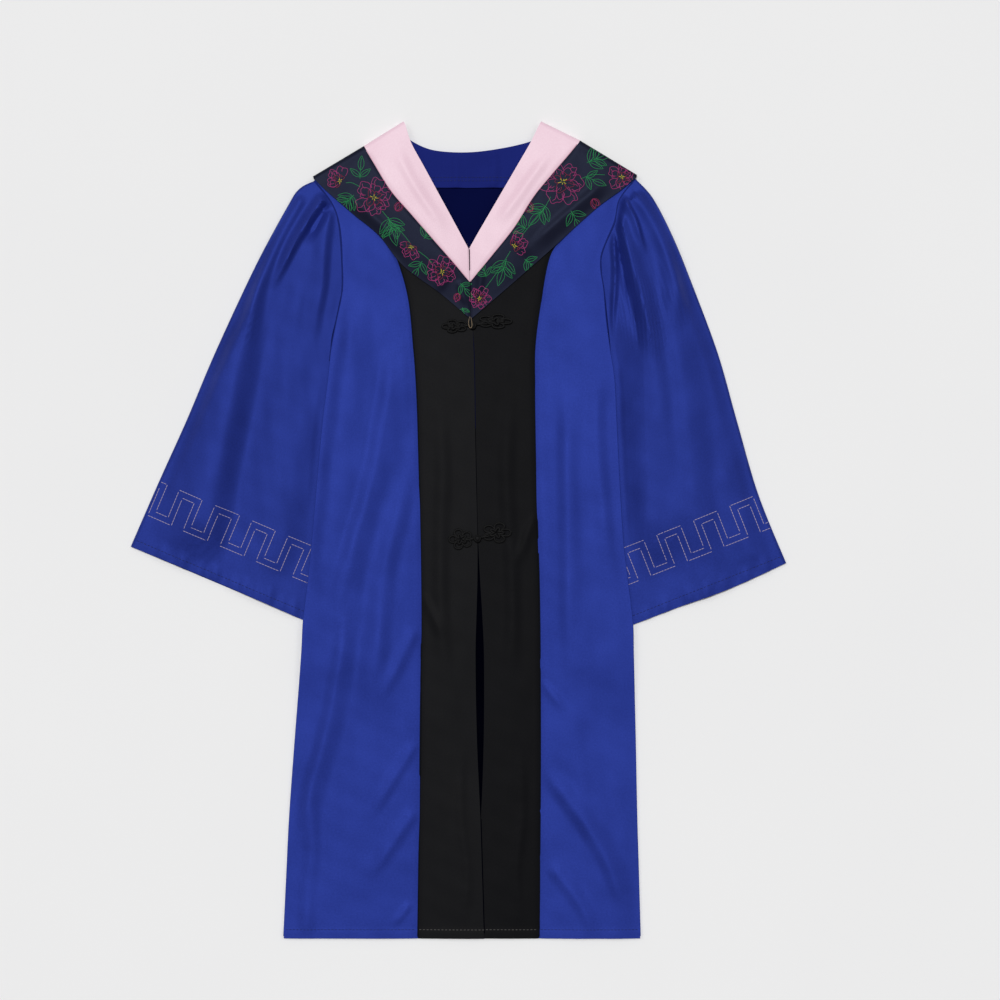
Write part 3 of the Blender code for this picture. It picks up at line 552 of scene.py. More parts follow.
def beside(points, distance):
    """The same points, moved sideways from the line through them."""
    run = np.gradient(np.asarray(points, float), axis=0)
    run /= np.linalg.norm(run, axis=1)[:, None]
    return points + distance * np.column_stack([run[:, 1], -run[:, 0]])


def patch(head, cuff, seam, outer):
    """A plan between four curves. Each row of it goes from the seam to the outer fold."""
    u = np.linspace(0.0, 1.0, len(head))[None, :, None]
    v = np.linspace(0.0, 1.0, len(seam))[:, None, None]
    ends = (1 - v) * head[None] + v * cuff[None]
    sides = (1 - u) * seam[:, None] + u * outer[:, None]
    square = (1 - v) * ((1 - u) * head[0] + u * head[-1]) + v * ((1 - u) * cuff[0] + u * cuff[-1])
    return ends + sides - square


def sleeve_plan(side):
    edge = body_edge(side + "_side", np.linspace(UNDERARM[side], 0.0, ARMHOLE_POINTS))
    armhole = beside(edge, OUT[side] * ARMHOLE_GAP)
    cuff = SLEEVE_CUFF[side]
    seam = [(x + OUT[side] * ARMHOLE_GAP, y) for x, y in SLEEVE_SEAM[side][1:-1]]
    return patch(
        evenly(armhole, FRONT_COLUMNS), evenly(cuff, FRONT_COLUMNS),
        evenly([armhole[0], *seam, cuff[0]], SLEEVE_ROW_COUNT),
        evenly([armhole[-1], *SLEEVE_OUTER[side][1:]], SLEEVE_ROW_COUNT),
    )


def body_edge_x(side, y):
    """Where the body's side edge is at a height y on the plan."""
    edge = body_edge(side + "_side", np.linspace(len(BODY_EDGES) - 1.0, 0.0, 400))
    return np.interp(y, edge[:, 1], edge[:, 0])


def sleeve_sheet(side, creases):
    name = "sleeve_" + side
    plan = sleeve_plan(side)
    width = np.linalg.norm(plan[:, -1] - plan[:, 0], axis=1)[:, None, None]
    middle = (plan[:, :1] + plan[:, -1:]) / 2
    front = middle + (plan - middle) * (1 - 2 * FOLD / width)
    heights = averaged(solid_height(name, front), SLEEVE_CALM)
    ridges = crease_heights(front, creases) + unevenness(front, 0.8)
    for x, y, height in CUFF_PUCKERS[side]:
        away = np.hypot(front[..., 0] - x, (front[..., 1] - y) * PUCKER_LENGTH)
        ridges += PUCKER_SHARE * height * np.cos(0.5 * np.pi * np.clip(away / PUCKER_REACH, 0, 1)) ** 2
    beyond_body = OUT[side] * (front[..., 0] - body_edge_x(side, front[..., 1])) - BODY_CLEAR[0]
    heights += ridges * smooth(beyond_body / BODY_CLEAR[1]) * smooth(from_edge(front, -1) / FOLD_CLEAR)
    share = np.linspace(1.0, 0.0, BACK_COLUMNS)[None, :, None]
    back = front[:, :1] * (1 - share) + front[:, -1:] * share
    back_heights = solid_height(name, back, side=-1)
    fold_heights = (heights[:, -1:] + back_heights[:, :1]) / 2
    seam_heights = (heights[:, :1] + back_heights[:, -1:]) / 2
    ring = np.hstack([front, plan[:, -1:], back, plan[:, :1], front[:, :1]])
    ring_heights = np.hstack([heights, fold_heights, back_heights, seam_heights, heights[:, :1]])
    if side == "left":
        ring, ring_heights = ring[:, ::-1], ring_heights[:, ::-1]
    piece = grid_sheet(name + "_cloth", ring, ring_heights)
    mend(piece, MERGE)
    return thicken(piece, SLEEVE_WALL)


sleeve_left = sleeve_sheet("left", SLEEVE_LEFT_CREASES)
sleeve_right = sleeve_sheet("right", SLEEVE_RIGHT_CREASES)

# %% [markdown]
# ## Hood
# The hood is a wide collar in two halves that are joined in a point in front. Each half is a pink satin
# trim sewn to a dark flowered band. It lies on the fronts, turns over the shoulder, and its last stretch
# is flat on the table under the back, so its grid runs from the point, round the turn, to the back of the
# neck.

# %% Edges of the hood
Hood = namedtuple("Hood", "neck seam outer")
HOOD_FRONT = {
    "left": [
        Hood((-55.0, 408.0), (-94.5, 383.5), (-145.5, 353.0)),
        Hood((-47.9, 387.6), (-83.5, 365.0), (-130.5, 338.0)),
        Hood((-34.5, 363.0), (-67.5, 339.0), (-105.5, 315.5)),
        Hood((-18.5, 333.5), (-45.5, 313.5), (-79.5, 294.0)),
        Hood((-3.5, 306.0), (-21.5, 286.0), (-55.0, 263.5)),
        Hood((4.5, 291.0), (-3.5, 265.5), (-18.5, 236.5)),
        Hood((10.3, 280.4), (11.3, 248.0), (12.2, 210.5)),
    ],
    "right": [
        Hood((82.7, 408.0), (121.5, 389.0), (178.5, 354.5)),
        Hood((72.5, 387.6), (108.5, 373.0), (161.5, 339.5)),
        Hood((59.5, 365.0), (91.5, 353.0), (139.5, 322.5)),
        Hood((43.5, 337.5), (74.5, 332.0), (118.5, 304.0)),
        Hood((29.5, 313.5), (55.5, 302.0), (91.5, 279.0)),
        Hood((18.5, 294.5), (34.5, 275.5), (51.5, 244.0)),
        Hood((10.6, 280.4), (11.6, 248.0), (12.5, 210.5)),
    ],
}
HOOD_BACK = {
    "left": [
        Hood((-46.5, 380.0), (-60.5, 358.0), (-108.5, 325.0)),
        Hood((-21.5, 371.0), (-25.5, 343.0), (-53.5, 302.0)),
        Hood((11.3, 368.0), (11.3, 338.0), (11.3, 292.0)),
    ],
    "right": [
        Hood((71.5, 380.0), (86.5, 358.0), (139.5, 325.0)),
        Hood((44.5, 371.0), (49.5, 343.0), (76.5, 302.0)),
        Hood((11.6, 368.0), (11.6, 338.0), (11.6, 292.0)),
    ],
}
HOOD_CREASES = [
    Crease(1.6, 9, 13, 0.25, 0.35, 0.3, [(-118, 338), (-92, 318), (-64, 292), (-38, 262)]),
    Crease(1.4, 6, 9, 0.20, 0.40, 0.4, [(-8, 262), (-16, 246), (-24, 236)]),
    Crease(1.3, 6, 6, 0.25, 0.40, 0.4, [(0, 250), (4, 236), (9, 222)]),
    Crease(1.8, 12, 8, 0.20, 0.35, 0.3, [(150, 350), (126, 330), (98, 306), (66, 276)]),
    Crease(1.3, 6, 8, 0.25, 0.40, 0.4, [(54, 296), (62, 284), (74, 272)]),
    Crease(1.2, 5, 7, 0.25, 0.40, 0.4, [(24, 262), (22, 246), (18, 228)]),
    Crease(1.4, 8, 9, 0.30, 0.30, 0.3, [(-62, 384), (-48, 352), (-30, 324), (-12, 296)]),
    Crease(1.4, 9, 8, 0.30, 0.30, 0.3, [(96, 382), (76, 356), (56, 328), (34, 300)]),
]
HOOD_STEPS = 16  # rows of points for each row of the front table
HOOD_BACK_STEPS = 8
TURN_STEPS = 8
SHOULDER_TOP = 7.2  # height of the hood's outside over the table at the shoulder
print("hood:", len(HOOD_CREASES), "creases")

# %% Turn the hood over the shoulder
TURN_FRONT = 0.34  # share of the front's length that is drawn in to make room for the turn
TURN_BACK = 0.5  # the same for the back
HOOD_CALM = 5
TURN_CALM = 0.10  # the creases end this share of the length before the turn
HOOD_SEAM_WIDTH = 3.0
MITRE_DIP = 0.6


def hood_sheet(name, side, first, last, columns, sewn):
    """One half of the trim or band, between two edges of the tables. sewn is the column at the seam."""
    plans, shares = [], []
    for table, steps in (
        (HOOD_FRONT[side][::-1], HOOD_STEPS), (HOOD_FRONT[side][:1] + HOOD_BACK[side], HOOD_BACK_STEPS),
    ):
        places = np.linspace(0, len(table) - 1, steps * (len(table) - 1) + 1)
        edges = (curve_at([getattr(row, edge) for row in table], places) for edge in (first, last))
        plans.append(ruled(*edges, columns))
        shares.append(places / (len(table) - 1))
    front, back = plans
    line = np.subtract(HOOD_FRONT[side][0].outer, HOOD_FRONT[side][0].neck)
    line /= np.linalg.norm(line)
    outward = -OUT[side] * np.array([line[1], -line[0]])
    radius = SHOULDER_TOP / 2
    along = 1 - shares[0]
    front -= (outward * radius) * smooth(1 - along / TURN_FRONT)[:, None, None]
    back -= (outward * radius) * smooth(1 - shares[1] / TURN_BACK)[:, None, None]
    heights = averaged(solid_height(name, inset(front)), HOOD_CALM)
    heights[-1] = SHOULDER_TOP
    calm = smooth(along / TURN_CALM)[:, None]
    heights += (crease_heights(front, HOOD_CREASES) + unevenness(front, 0.5)) * calm
    heights -= SEAM_DIP * (1 - smooth(from_edge(front, sewn) / HOOD_SEAM_WIDTH)) * calm
    mitre = np.linalg.norm(front - front[:1], axis=2)
    heights -= MITRE_DIP * (1 - smooth(mitre / HOOD_SEAM_WIDTH))
    turn, turn_heights = [], []
    for angle in math.pi * np.arange(1, TURN_STEPS) / TURN_STEPS:
        turn.append(front[-1] + outward * radius * math.sin(angle))
        turn_heights.append(np.full(columns, radius + radius * math.cos(angle)))
    plan = np.vstack([front, turn, back])
    heights = np.vstack([heights, turn_heights, np.zeros(back.shape[:-1])])
    if side == "right":
        plan, heights = plan[:, ::-1], heights[:, ::-1]
    piece = grid_sheet(name + "_satin", plan[::-1], heights[::-1])
    mend(piece)
    return thicken(piece)


TRIM_COLUMNS, HOOD_COLUMNS = 18, 28
trim_left = hood_sheet("hood_trim_left", "left", "neck", "seam", TRIM_COLUMNS, -1)
trim_right = hood_sheet("hood_trim_right", "right", "neck", "seam", TRIM_COLUMNS, -1)
hood_left = hood_sheet("hood_band_left", "left", "seam", "outer", HOOD_COLUMNS, 0)
hood_right = hood_sheet("hood_band_right", "right", "seam", "outer", HOOD_COLUMNS, 0)

# %% [markdown]
# ## Seams, threads and cords
# Every seam, stitch and cord is a thin line that follows the cloth. In Blender such a line is a curve
# with a small ellipse as its bevel: the ellipse is swept along the path and stays level when the twist is
# set to Z-up. Rays find the height of the cloth under each point, and a line stops where the cloth does.

# %% Lines that follow the cloth
WELD = 0.000001  # metres
STITCH_END = -0.15  # a stitch goes down into the cloth by this much


def cloth_below(*pieces):
    """A function that gives the highest of these pieces at a place, or None beside them."""
    points, faces = [], []
    for piece in pieces:
        start = len(points)
        points += [v.co.copy() for v in piece.data.vertices]
        faces += [tuple(start + i for i in p.vertices) for p in piece.data.polygons]
    tree = BVHTree.FromPolygons(points, faces)

    def height(x, y):
        hit = tree.ray_cast((x * MM, y * MM, RAY_START), (0.0, 0.0, -1.0))[0]
        return None if hit is None else hit.z / MM

    return height


def laid(path, height, lift=0.0):
    """The path on the cloth, as one or more runs of points with their heights."""
    runs, run = [], []
    for x, y in path:
        z = height(x, y)
        if z is None:
            runs.append(run)
            run = []
        else:
            run.append((x, y, z + lift))
    return [r for r in runs + [run] if len(r) > 1]


def swept(name, runs, half_width, half_height, sides=8, cyclic=False):
    """A mesh of an ellipse swept along each run of points."""
    bpy.ops.object.select_all(action="DESELECT")
    bpy.ops.curve.primitive_bezier_circle_add(radius=1.0)
    profile = bpy.context.object
    profile.data.resolution_u = sides // 4
    for point in profile.data.splines[0].bezier_points:
        for handle in ("co", "handle_left", "handle_right"):
            x, y, _ = getattr(point, handle)
            setattr(point, handle, (x * half_width * MM, y * half_height * MM, 0.0))
    line = bpy.data.curves.new(name, "CURVE")
    line.dimensions = "3D"
    line.twist_mode = "Z_UP"
    line.bevel_mode = "OBJECT"
    line.bevel_object = profile
    line.use_fill_caps = True
    for run in runs:
        spline = line.splines.new("POLY")
        spline.points.add(len(run) - 1)
        spline.points.foreach_set("co", [c for x, y, z in run for c in (x * MM, y * MM, z * MM, 1.0)])
        spline.use_cyclic_u = cyclic
    piece = bpy.data.objects.new(name, line)
    bpy.context.scene.collection.objects.link(piece)
    select_only(piece)
    bpy.ops.object.convert(target="MESH")
    piece = bpy.context.object
    piece.name = piece.data.name = name
    bpy.data.objects.remove(profile)
    mend(piece, WELD)
    bpy.ops.object.shade_smooth()
    print(name, "has", len(runs), "runs and", len(piece.data.polygons), "faces")
    return piece


def stitches(path, height, length=2.5, gap=1.0, lift=0.12):
    """Short runs along a path: each stitch comes up out of the cloth and goes down into it."""
    path = np.asarray(path, float)
    runs = []
    for start in np.arange(0.5 * gap, travelled(path)[-1] - length, length + gap):
        places = at_lengths(path, start + length * np.array([0.0, 0.3, 0.7, 1.0]))
        heights = [height(x, y) for x, y in places]
        if None not in heights:
            rises = (STITCH_END, lift, lift, STITCH_END)
            runs.append([(x, y, z + rise) for (x, y), z, rise in zip(places, heights, rises)])
    return runs


# %% Sew the seams
ALL = len(BODY_EDGES) - 1.0
HEM_END = ALL - 0.002
SEAM_START = 0.35  # the seams begin under the hood
FRONT = {"left": front_left, "right": front_right}
SLEEVE = {"left": sleeve_left, "right": sleeve_right}
ARMHOLE_LINE = 0.6  # the seam lies this far outside the body's edge
ARMHOLE_SIDES = (-1.2, 2.2)  # and takes its height from the lower of these two places
ARMHOLE_END = 2.4  # it runs on below the underarm for this many stations
ARMHOLE_CALM = 12
SIDE_IN = 0.3  # the side seam's height is read this far inside the edge
SIDE_DROP = 1.3  # and its middle lies this far under the front's top
on_fronts = cloth_below(front_left, front_right, band_left, band_right)
on_body_and_sleeves = cloth_below(*FRONT.values(), *SLEEVE.values())
down = np.linspace(SEAM_START, HEM_END, 300)
seam_runs = [laid(body_edge(name, down), on_fronts, -0.05) for name in ("left_seam", "right_seam")]
band_seams = swept("band_seams", sum(seam_runs, []), 0.85, 0.5)


def armhole_seam(side):
    """The line where the sleeve meets the body, as low as the lower of the two."""
    edge = body_edge(side + "_side", np.linspace(0.0, UNDERARM[side] + ARMHOLE_END, 120))
    run = []
    for middle, near, far in zip(*(beside(edge, -OUT[side] * d) for d in (ARMHOLE_LINE, *ARMHOLE_SIDES))):
        heights = [z for z in (on_body_and_sleeves(*near), on_body_and_sleeves(*far)) if z is not None]
        if heights:
            run.append((*middle, min(heights) - 0.2))
    run = np.array(run)
    run[:, 2:] = averaged(run[:, 2:], ARMHOLE_CALM)
    return run.tolist()


def side_seam(side):
    """The edge where front and back are sewn together, from the underarm to the hem."""
    front = cloth_below(FRONT[side])
    run = []
    for x, y in body_edge(side + "_side", np.linspace(UNDERARM[side], HEM_END, 200)):
        z = front(x - OUT[side] * SIDE_IN, y)
        if z is not None:
            run.append((x, y, z - SIDE_DROP))
    return run


armhole_seams = swept("armhole_seams", [armhole_seam(side) for side in OUT], 1.1, 0.5)
side_seams = swept("side_seams", [side_seam(side) for side in OUT], 0.7, 1.3)

# %% Lay a painted shadow: a near-black strip beside the left band's edge, where it laps over the right one
LAP_START, LAP_END = 14.85, ALL - 0.14  # from where the slit between the bands has closed to the hem
LAP_BESIDE = 0.4  # the strip lies this far outside the left band's edge
LAP_LIFT = 0.15  # and this far over the right band
lap_edge = beside(body_edge("left_front", np.linspace(LAP_START, LAP_END, 120)), -LAP_BESIDE)
lap_painted_shadow = swept("lap_painted_shadow", laid(lap_edge, cloth_below(band_right), LAP_LIFT), 0.6, 0.3)

# %% Stitch the hems, the facing and the cuffs
HEM_LINE = -399.0
FACING_LINES = (352.0, 348.5)
CUFF_LINE = 8.0  # above the cuff's edge
THREAD = (0.28, 0.22, 4)  # half width, half height and sides of a thread
on_facing = cloth_below(facing)
on_sleeve = {side: cloth_below(SLEEVE[side]) for side in OUT}


def level(first, last, y, step=0.5):
    return [(x, y) for x in np.arange(first, last, step)]


def cuff_point(side, s, d):
    """A place on the sleeve: s millimetres in from the outer corner along the cuff, d up from it."""
    cuff = np.asarray(SLEEVE_CUFF[side][::-1])
    run = cuff[-1] - cuff[0]
    run = run / np.linalg.norm(run)
    up = OUT[side] * np.array([run[1], -run[0]])
    return cuff[0] + run * s + up * d


blue_runs = []
for first, last in ((-173.0, -41.0), (81.5, 180.5)):
    blue_runs += stitches(level(first, last, HEM_LINE), on_fronts)
for y in FACING_LINES:
    blue_runs += stitches(level(-40.0, 66.0, y), on_facing)
for side in OUT:
    hem = [cuff_point(side, s, CUFF_LINE) for s in np.arange(3.0, 215.0, 1.0)]
    blue_runs += stitches(hem, on_sleeve[side], 2.6, 1.2)
hem_thread = swept("hem_thread", blue_runs, *THREAD)
band_runs = stitches(level(-40.0, 80.5, HEM_LINE), on_fronts, 2.2, 1.5)
band_hem_thread = swept("band_hem_thread", band_runs, *THREAD)

# %% [markdown]
# ## The key border
# Two lines of light thread run round each sleeve above the cuff and turn square corners like the top of a
# wall. One period is a merlon and a gap, and the two lines keep the same distance everywhere. The border
# is drawn in the cuff's own directions, along it and up from it.

# %% Stitch the key border
KEY_PERIOD = 39.2
KEY_START = {"left": 23.7, "right": 6.5}  # the first merlon's corner, from the outer corner of the cuff
KEY_RISE = {"left": 0.0, "right": 3.0}
KEY_MERLON = 25.5  # width of a merlon in the upper line
KEY_GAP = 6.2  # distance between the two lines
KEY_LOW, KEY_HIGH = 35.4, 65.0  # feet and tops of the lower line, above the cuff
KEY_MERLONS = range(-1, 6)
KEY_STITCH = (2.8, 0.25)  # length of a stitch and the gap to the next one


def key_lines(side):
    """The corners of the upper line and of the lower one, each as its way along and up from the cuff."""
    upper, lower = [], []
    for k in KEY_MERLONS:
        first = KEY_START[side] + k * KEY_PERIOD
        last = first + KEY_MERLON
        for line, inset_by, rise in ((upper, 0.0, KEY_GAP), (lower, KEY_GAP, 0.0)):
            a, b = first + inset_by, last - inset_by
            low, high = KEY_LOW + rise, KEY_HIGH + rise
            line += [(a, low), (a, high), (b, high), (b, low)]
    return upper, lower


key_runs = []
for side in OUT:
    for corners in key_lines(side):
        for (s0, d0), (s1, d1) in zip(corners, corners[1:]):
            steps = max(2, int(math.hypot(s1 - s0, d1 - d0) / 0.5))
            shares = [i / steps for i in range(steps + 1)]
            rise = KEY_RISE[side]
            path = [cuff_point(side, s0 + (s1 - s0) * t, d0 + (d1 - d0) * t + rise) for t in shares]
            key_runs += stitches(path, on_sleeve[side], *KEY_STITCH)
key_thread = swept("key_border_thread", key_runs, 0.36, 0.26, 4)

# %% [markdown]
# ## Seams of the hood
# The trim and the band of the hood meet in a turned edge, and the two halves meet in a mitre at the
# point.

# %% Sew the hood
on_trims = cloth_below(trim_left, trim_right, hood_left, hood_right)
trim_runs = []
for table in HOOD_FRONT.values():
    places = np.linspace(SEAM_START, len(table) - 1.0, 140)
    trim_runs += laid(curve_at([row.seam for row in table], places), on_trims, -0.1)
trim_seams = swept("trim_seams", trim_runs, 0.6, 0.4)
mitre = [(11.4 + 0.9 * (280.0 - y) / 70.0 - 0.4 * (y > 248.0), y) for y in np.arange(280.0, 211.0, -1.0)]
hood_mitre = swept("hood_mitre", laid(mitre, on_trims, 0.0), 0.5, 0.45)

# %% [markdown]
# ## Flowers on the hood
# The band of the hood carries a common flower pattern: open peonies and buds in rose and crimson outline,
# green leaves on thin stems, and yellow stamens. The flowers are drawn here as outlines from a few
# numbers, a ring of petals inside another, and laid on the satin as thin flat threads. Their layout is
# this script's own.

# %% Draw flowers and leaves
# A peony's last number is 1 for an open flower and less for one that is seen from its side
Peony = namedtuple("Peony", "x y radius turn open")
Bud = namedtuple("Bud", "x y length turn")
Spray = namedtuple("Spray", "x y length turn leaflets")
PEONIES = [
    Peony(-84, 331, 18, 0.4, 1.0), Peony(-118, 348, 13, 2.3, 0.5), Peony(-16, 257, 15, 2.5, 1.0),
    Peony(-47, 282, 12, 3.9, 0.5), Peony(104, 347, 21, 1.1, 1.0), Peony(163, 352, 13, 0.6, 1.0),
    Peony(56, 283, 13, 0.3, 0.5), Peony(21, 231, 11, 2.0, 1.0),
]
BUDS = [Bud(-62, 318, 11, 1.0), Bud(74, 318, 13, 2.4), Bud(134, 330, 12, 5.2), Bud(0, 236, 9, 4.4)]
SPRAYS = [
    Spray(-104, 334, 22, 3.9, 5), Spray(-98, 350, 20, 1.5, 3), Spray(-70, 312, 26, 5.0, 5),
        Spray(-58, 302, 18, 3.6, 3),
    Spray(-36, 268, 20, 4.2, 3), Spray(-34, 290, 18, 1.0, 3), Spray(2, 246, 16, 5.4, 3),
        Spray(4, 222, 12, 4.9, 3),
    Spray(128, 366, 24, 0.4, 5), Spray(126, 352, 20, 5.9, 3), Spray(88, 324, 24, 4.0, 5),
        Spray(112, 318, 22, 5.2, 3),
    Spray(68, 300, 20, 2.6, 3), Spray(48, 270, 24, 4.4, 5), Spray(66, 270, 18, 5.6, 3),
        Spray(28, 252, 16, 1.9, 3),
    Spray(32, 224, 12, 5.6, 3),
]
STEMS = [
    [(-98, 342), (-106, 346), (-112, 346)],
    [(-76, 318), (-66, 306), (-56, 296), (-48, 286)],
    [(-40, 278), (-32, 272), (-26, 266)],
    [(122, 350), (134, 354), (146, 354)],
    [(92, 332), (84, 318), (72, 304), (62, 292)],
    [(52, 278), (42, 262), (32, 248), (26, 240)],
]
print("flowers:", len(PEONIES), "peonies and", len(BUDS), "buds")
RINGS = [  # petals, inner and outer share of the radius, turn, ruffles
    (6, 0.56, 1.00, 0.0, 2.6), (5, 0.34, 0.74, 0.5, 2.2), (4, 0.14, 0.47, 0.2, 1.7),
]


def around(flower, shares, angles):
    """Points round the flower's middle, each at a share of its radius and an angle."""
    polar = [(flower.radius * share, angle) for share, angle in zip(shares, angles)]
    return [(flower.x + r * math.cos(a), flower.y + r * math.sin(a)) for r, a in polar]


def petal(flower, angle, width, inner, outer, ruffles):
    """One petal's outline: out from the middle, along a ruffled rim, and back."""
    side = np.linspace(-1.0, 1.0, 27)
    reach = inner + (outer - inner) * (1 - np.abs(side) ** 3)
    reach = reach + 0.065 * np.cos(math.pi * ruffles * side + 3 * angle) * (1 - side**2)
    return around(flower, reach, angle + side * width / 2 + 0.05 * np.sin(4 * side + 5 * angle))


def petal_fold(flower, angle, inner, outer):
    """A short bent line that runs in from a petal's rim."""
    shares = (outer - 0.05, 0.6 * outer + 0.4 * inner, 0.3 * outer + 0.7 * inner)
    return around(flower, shares, (angle, angle + 0.10, angle + 0.05))


def peony_outlines(flower):
    """Outlines of the rings from the outside in."""
    rings = []
    for petals, inner, outer, turn, ruffles in RINGS:
        ring = []
        for k in range(petals):
            place = k * 2 * math.pi / petals - math.pi
            if abs(place) > math.pi * flower.open + 0.01:
                continue
            angle = flower.turn + turn + place + 0.16 * math.sin(7 * k + 3 * flower.turn)
            width = 2 * math.pi / petals * (1.12 + 0.18 * math.sin(3 * k + flower.turn))
            rim = outer * (1 + 0.11 * math.sin(5 * k + 2 * flower.turn))
            ring.append(petal(flower, angle, width, inner, rim, ruffles))
            ring.append(petal_fold(flower, angle + 0.12 * math.sin(2 * k), inner, rim))
        rings.append(ring)
    return rings


def turned(x, y, turn, points):
    c, s = math.cos(turn), math.sin(turn)
    return [(x + c * a - s * b, y + s * a + c * b) for a, b in points]


def pointed_oval(length, width, count=13):
    """Outline of a leaf that starts and ends in a point, along the x axis."""
    t = np.linspace(0.0, 1.0, count)
    half = width / 2 * np.sin(np.pi * t**0.85)
    return list(zip(length * t, half)) + list(zip(length * t[::-1], -half[::-1]))


def bud_outlines(bud):
    """A closed bud: three long petals over each other."""
    petals = []
    for turn, length, width in ((-0.35, 0.85, 0.50), (0.35, 0.85, 0.50), (0.0, 1.0, 0.55)):
        outline = pointed_oval(bud.length * length, bud.length * width)
        petals.append(turned(bud.x, bud.y, bud.turn + turn, outline))
    return petals


def spray_outlines(spray):
    """Leaflets on both sides of a stem and one at its end, each with its rib."""
    stem = [(0, 0), (0.3 * spray.length, 0.4), (0.6 * spray.length, 0)]
    lines = [turned(spray.x, spray.y, spray.turn, stem)]
    for k in range(spray.leaflets):
        end = k == spray.leaflets - 1
        place = 0.42 if end else 0.10 + 0.5 * (k // 2) / max(1, spray.leaflets // 2)
        lean = 0.0 if end else (0.95 if k % 2 else -0.85)
        length = spray.length * (0.75 if end else 0.66 - 0.08 * (k // 2))
        x, y = turned(spray.x, spray.y, spray.turn, [(place * spray.length, 0.0)])[0]
        lines.append(turned(x, y, spray.turn + lean, pointed_oval(length, 0.40 * length)))
        rib = [(0.1 * length, 0), (0.5 * length, 0.3), (0.85 * length, 0)]
        lines.append(turned(x, y, spray.turn + lean, rib))
    return lines


def stamen_lines(flower):
    lines = []
    for k in range(6):
        near, far = 0.05, 0.14 + 0.05 * (k % 3)
        lines.append(around(flower, (near, 0.5 * (near + far), far), [flower.turn + k * 1.15] * 3))
    return lines


# %% Lay the flowers on the satin
on_bands = cloth_below(hood_left, hood_right)
FLOWER_LIFT = 0.10


def fine_path(points, step=0.9):
    """The line with points close enough together to follow the cloth."""
    points = np.asarray(points, float)
    length = travelled(points)[-1]
    return at_lengths(points, np.linspace(0.0, length, max(3, int(length / step))))


def on_satin(outlines):
    return [run for outline in outlines for run in laid(fine_path(outline), on_bands, FLOWER_LIFT)]


rose, crimson, stamens = [], [], []
for flower in PEONIES:
    outer, middle, inner = peony_outlines(flower)
    rose += outer + middle
    crimson += inner
    stamens += stamen_lines(flower)
for bud in BUDS:
    petals = bud_outlines(bud)
    crimson += petals[:2]
    rose += petals[2:]
leaves = [line for spray in SPRAYS for line in spray_outlines(spray)]
leaves += [evenly(stem, 30) for stem in STEMS]
PRINTS = [
    ("flowers_rose", rose, 0.27, 0.15), ("flowers_crimson", crimson, 0.27, 0.15),
    ("flowers_leaves", leaves, 0.28, 0.15), ("flowers_stamens", stamens, 0.34, 0.18),
]
prints = [swept(name, on_satin(lines), width, height, 4) for name, lines, width, height in PRINTS]

# %% [markdown]
# ## Frogs
# A frog is a fastening of covered cord: a flower of loops on each side, a ball knot on one and a loop on
# the other that goes over the knot. Both frogs are done up. The flower is one long cord that runs out
# into a petal and back again five times, with a smaller one inside it.

# %% Knot the frogs
Frog = namedtuple("Frog", "name x y half_length half_height towards_knot")
FROGS = [
    Frog("frog_upper_left", -3.7, 203.5, 13.5, 7.4, 1),
    Frog("frog_upper_right", 36.3, 208.4, 18.0, 8.0, -1),
    Frog("frog_lower_left", 2.3, -9.0, 12.8, 11.0, 1),
    Frog("frog_lower_right", 38.0, -2.5, 15.4, 11.0, -1),
]
Knot = namedtuple("Knot", "name x y radius left right")
KNOTS = [
    Knot("frog_upper_knot", 14.0, 204.3, 3.8, 0, 1),
    Knot("frog_lower_knot", 19.0, -8.5, 3.5, 2, 3),
]
CORD = 1.15  # radius of the frog's cord
PETALS = 5


def clover(frog, scale, lift, lean):
    """A closed cord that makes five petals round the frog's middle."""
    run = []
    for t in np.linspace(0.0, 2 * math.pi, 150, endpoint=False):
        share = 0.22 + 0.78 * abs(math.cos(0.5 * PETALS * t)) ** 0.75
        angle = t + (math.pi if frog.towards_knot > 0 else 0.0) + lean * math.sin(PETALS * t)
        x = frog.x + scale * share * (frog.half_length - CORD) * math.cos(angle)
        y = frog.y + scale * share * (frog.half_height - CORD) * math.sin(angle)
        run.append((x, y, on_fronts(x, y) + lift + 0.5 * (1 - share)))
    return run


def strands(frog, knot):
    """Two cords side by side from the flower to the knot."""
    runs = []
    for offset in (-1.15, 1.15):
        run = []
        for t in np.linspace(0.0, 1.0, 14):
            x = frog.x + (knot.x - frog.x) * t
            y = frog.y + (knot.y - frog.y) * t + offset * math.sin(math.pi * min(1.0, 0.25 + t))
            run.append((x, y, on_fronts(x, y) + CORD + 0.6 + 0.9 * t))
        runs.append(run)
    return runs


def knot_height(knot):
    """Height of the middle of the ball."""
    return on_fronts(knot.x, knot.y) + 0.3 + 0.75 * knot.radius


def knot_wraps(knot):
    """Three turns of cord round the ball, leaning different ways."""
    runs = []
    middle = knot_height(knot)
    for lean, turn in ((0.5, 0.2), (0.6, 2.3), (0.55, 4.4)):
        run = []
        for t in np.linspace(0.0, 2 * math.pi, 30, endpoint=False):
            a, b = 0.92 * knot.radius * math.cos(t), 0.92 * knot.radius * math.sin(t)
            z = max(middle + 0.8 * b * math.sin(lean), middle - 0.4 * knot.radius)
            run.append((*turned(knot.x, knot.y, turn, [(a, b * math.cos(lean))])[0], z))
        runs.append(run)
    return runs


def knot_ball(knot):
    """A sphere, a little flattened and cut flat below."""
    bpy.ops.object.select_all(action="DESELECT")
    bpy.ops.mesh.primitive_uv_sphere_add(segments=24, ring_count=14, radius=0.95 * knot.radius * MM)
    ball = bpy.context.object
    ball.name = ball.data.name = knot.name + "_ball"
    middle = knot_height(knot)
    for vertex in ball.data.vertices:
        z = max(0.8 * vertex.co.z, -0.45 * knot.radius * MM)
        vertex.co = (vertex.co.x + knot.x * MM, vertex.co.y + knot.y * MM, z + middle * MM)
    bpy.ops.object.shade_smooth()
    return ball


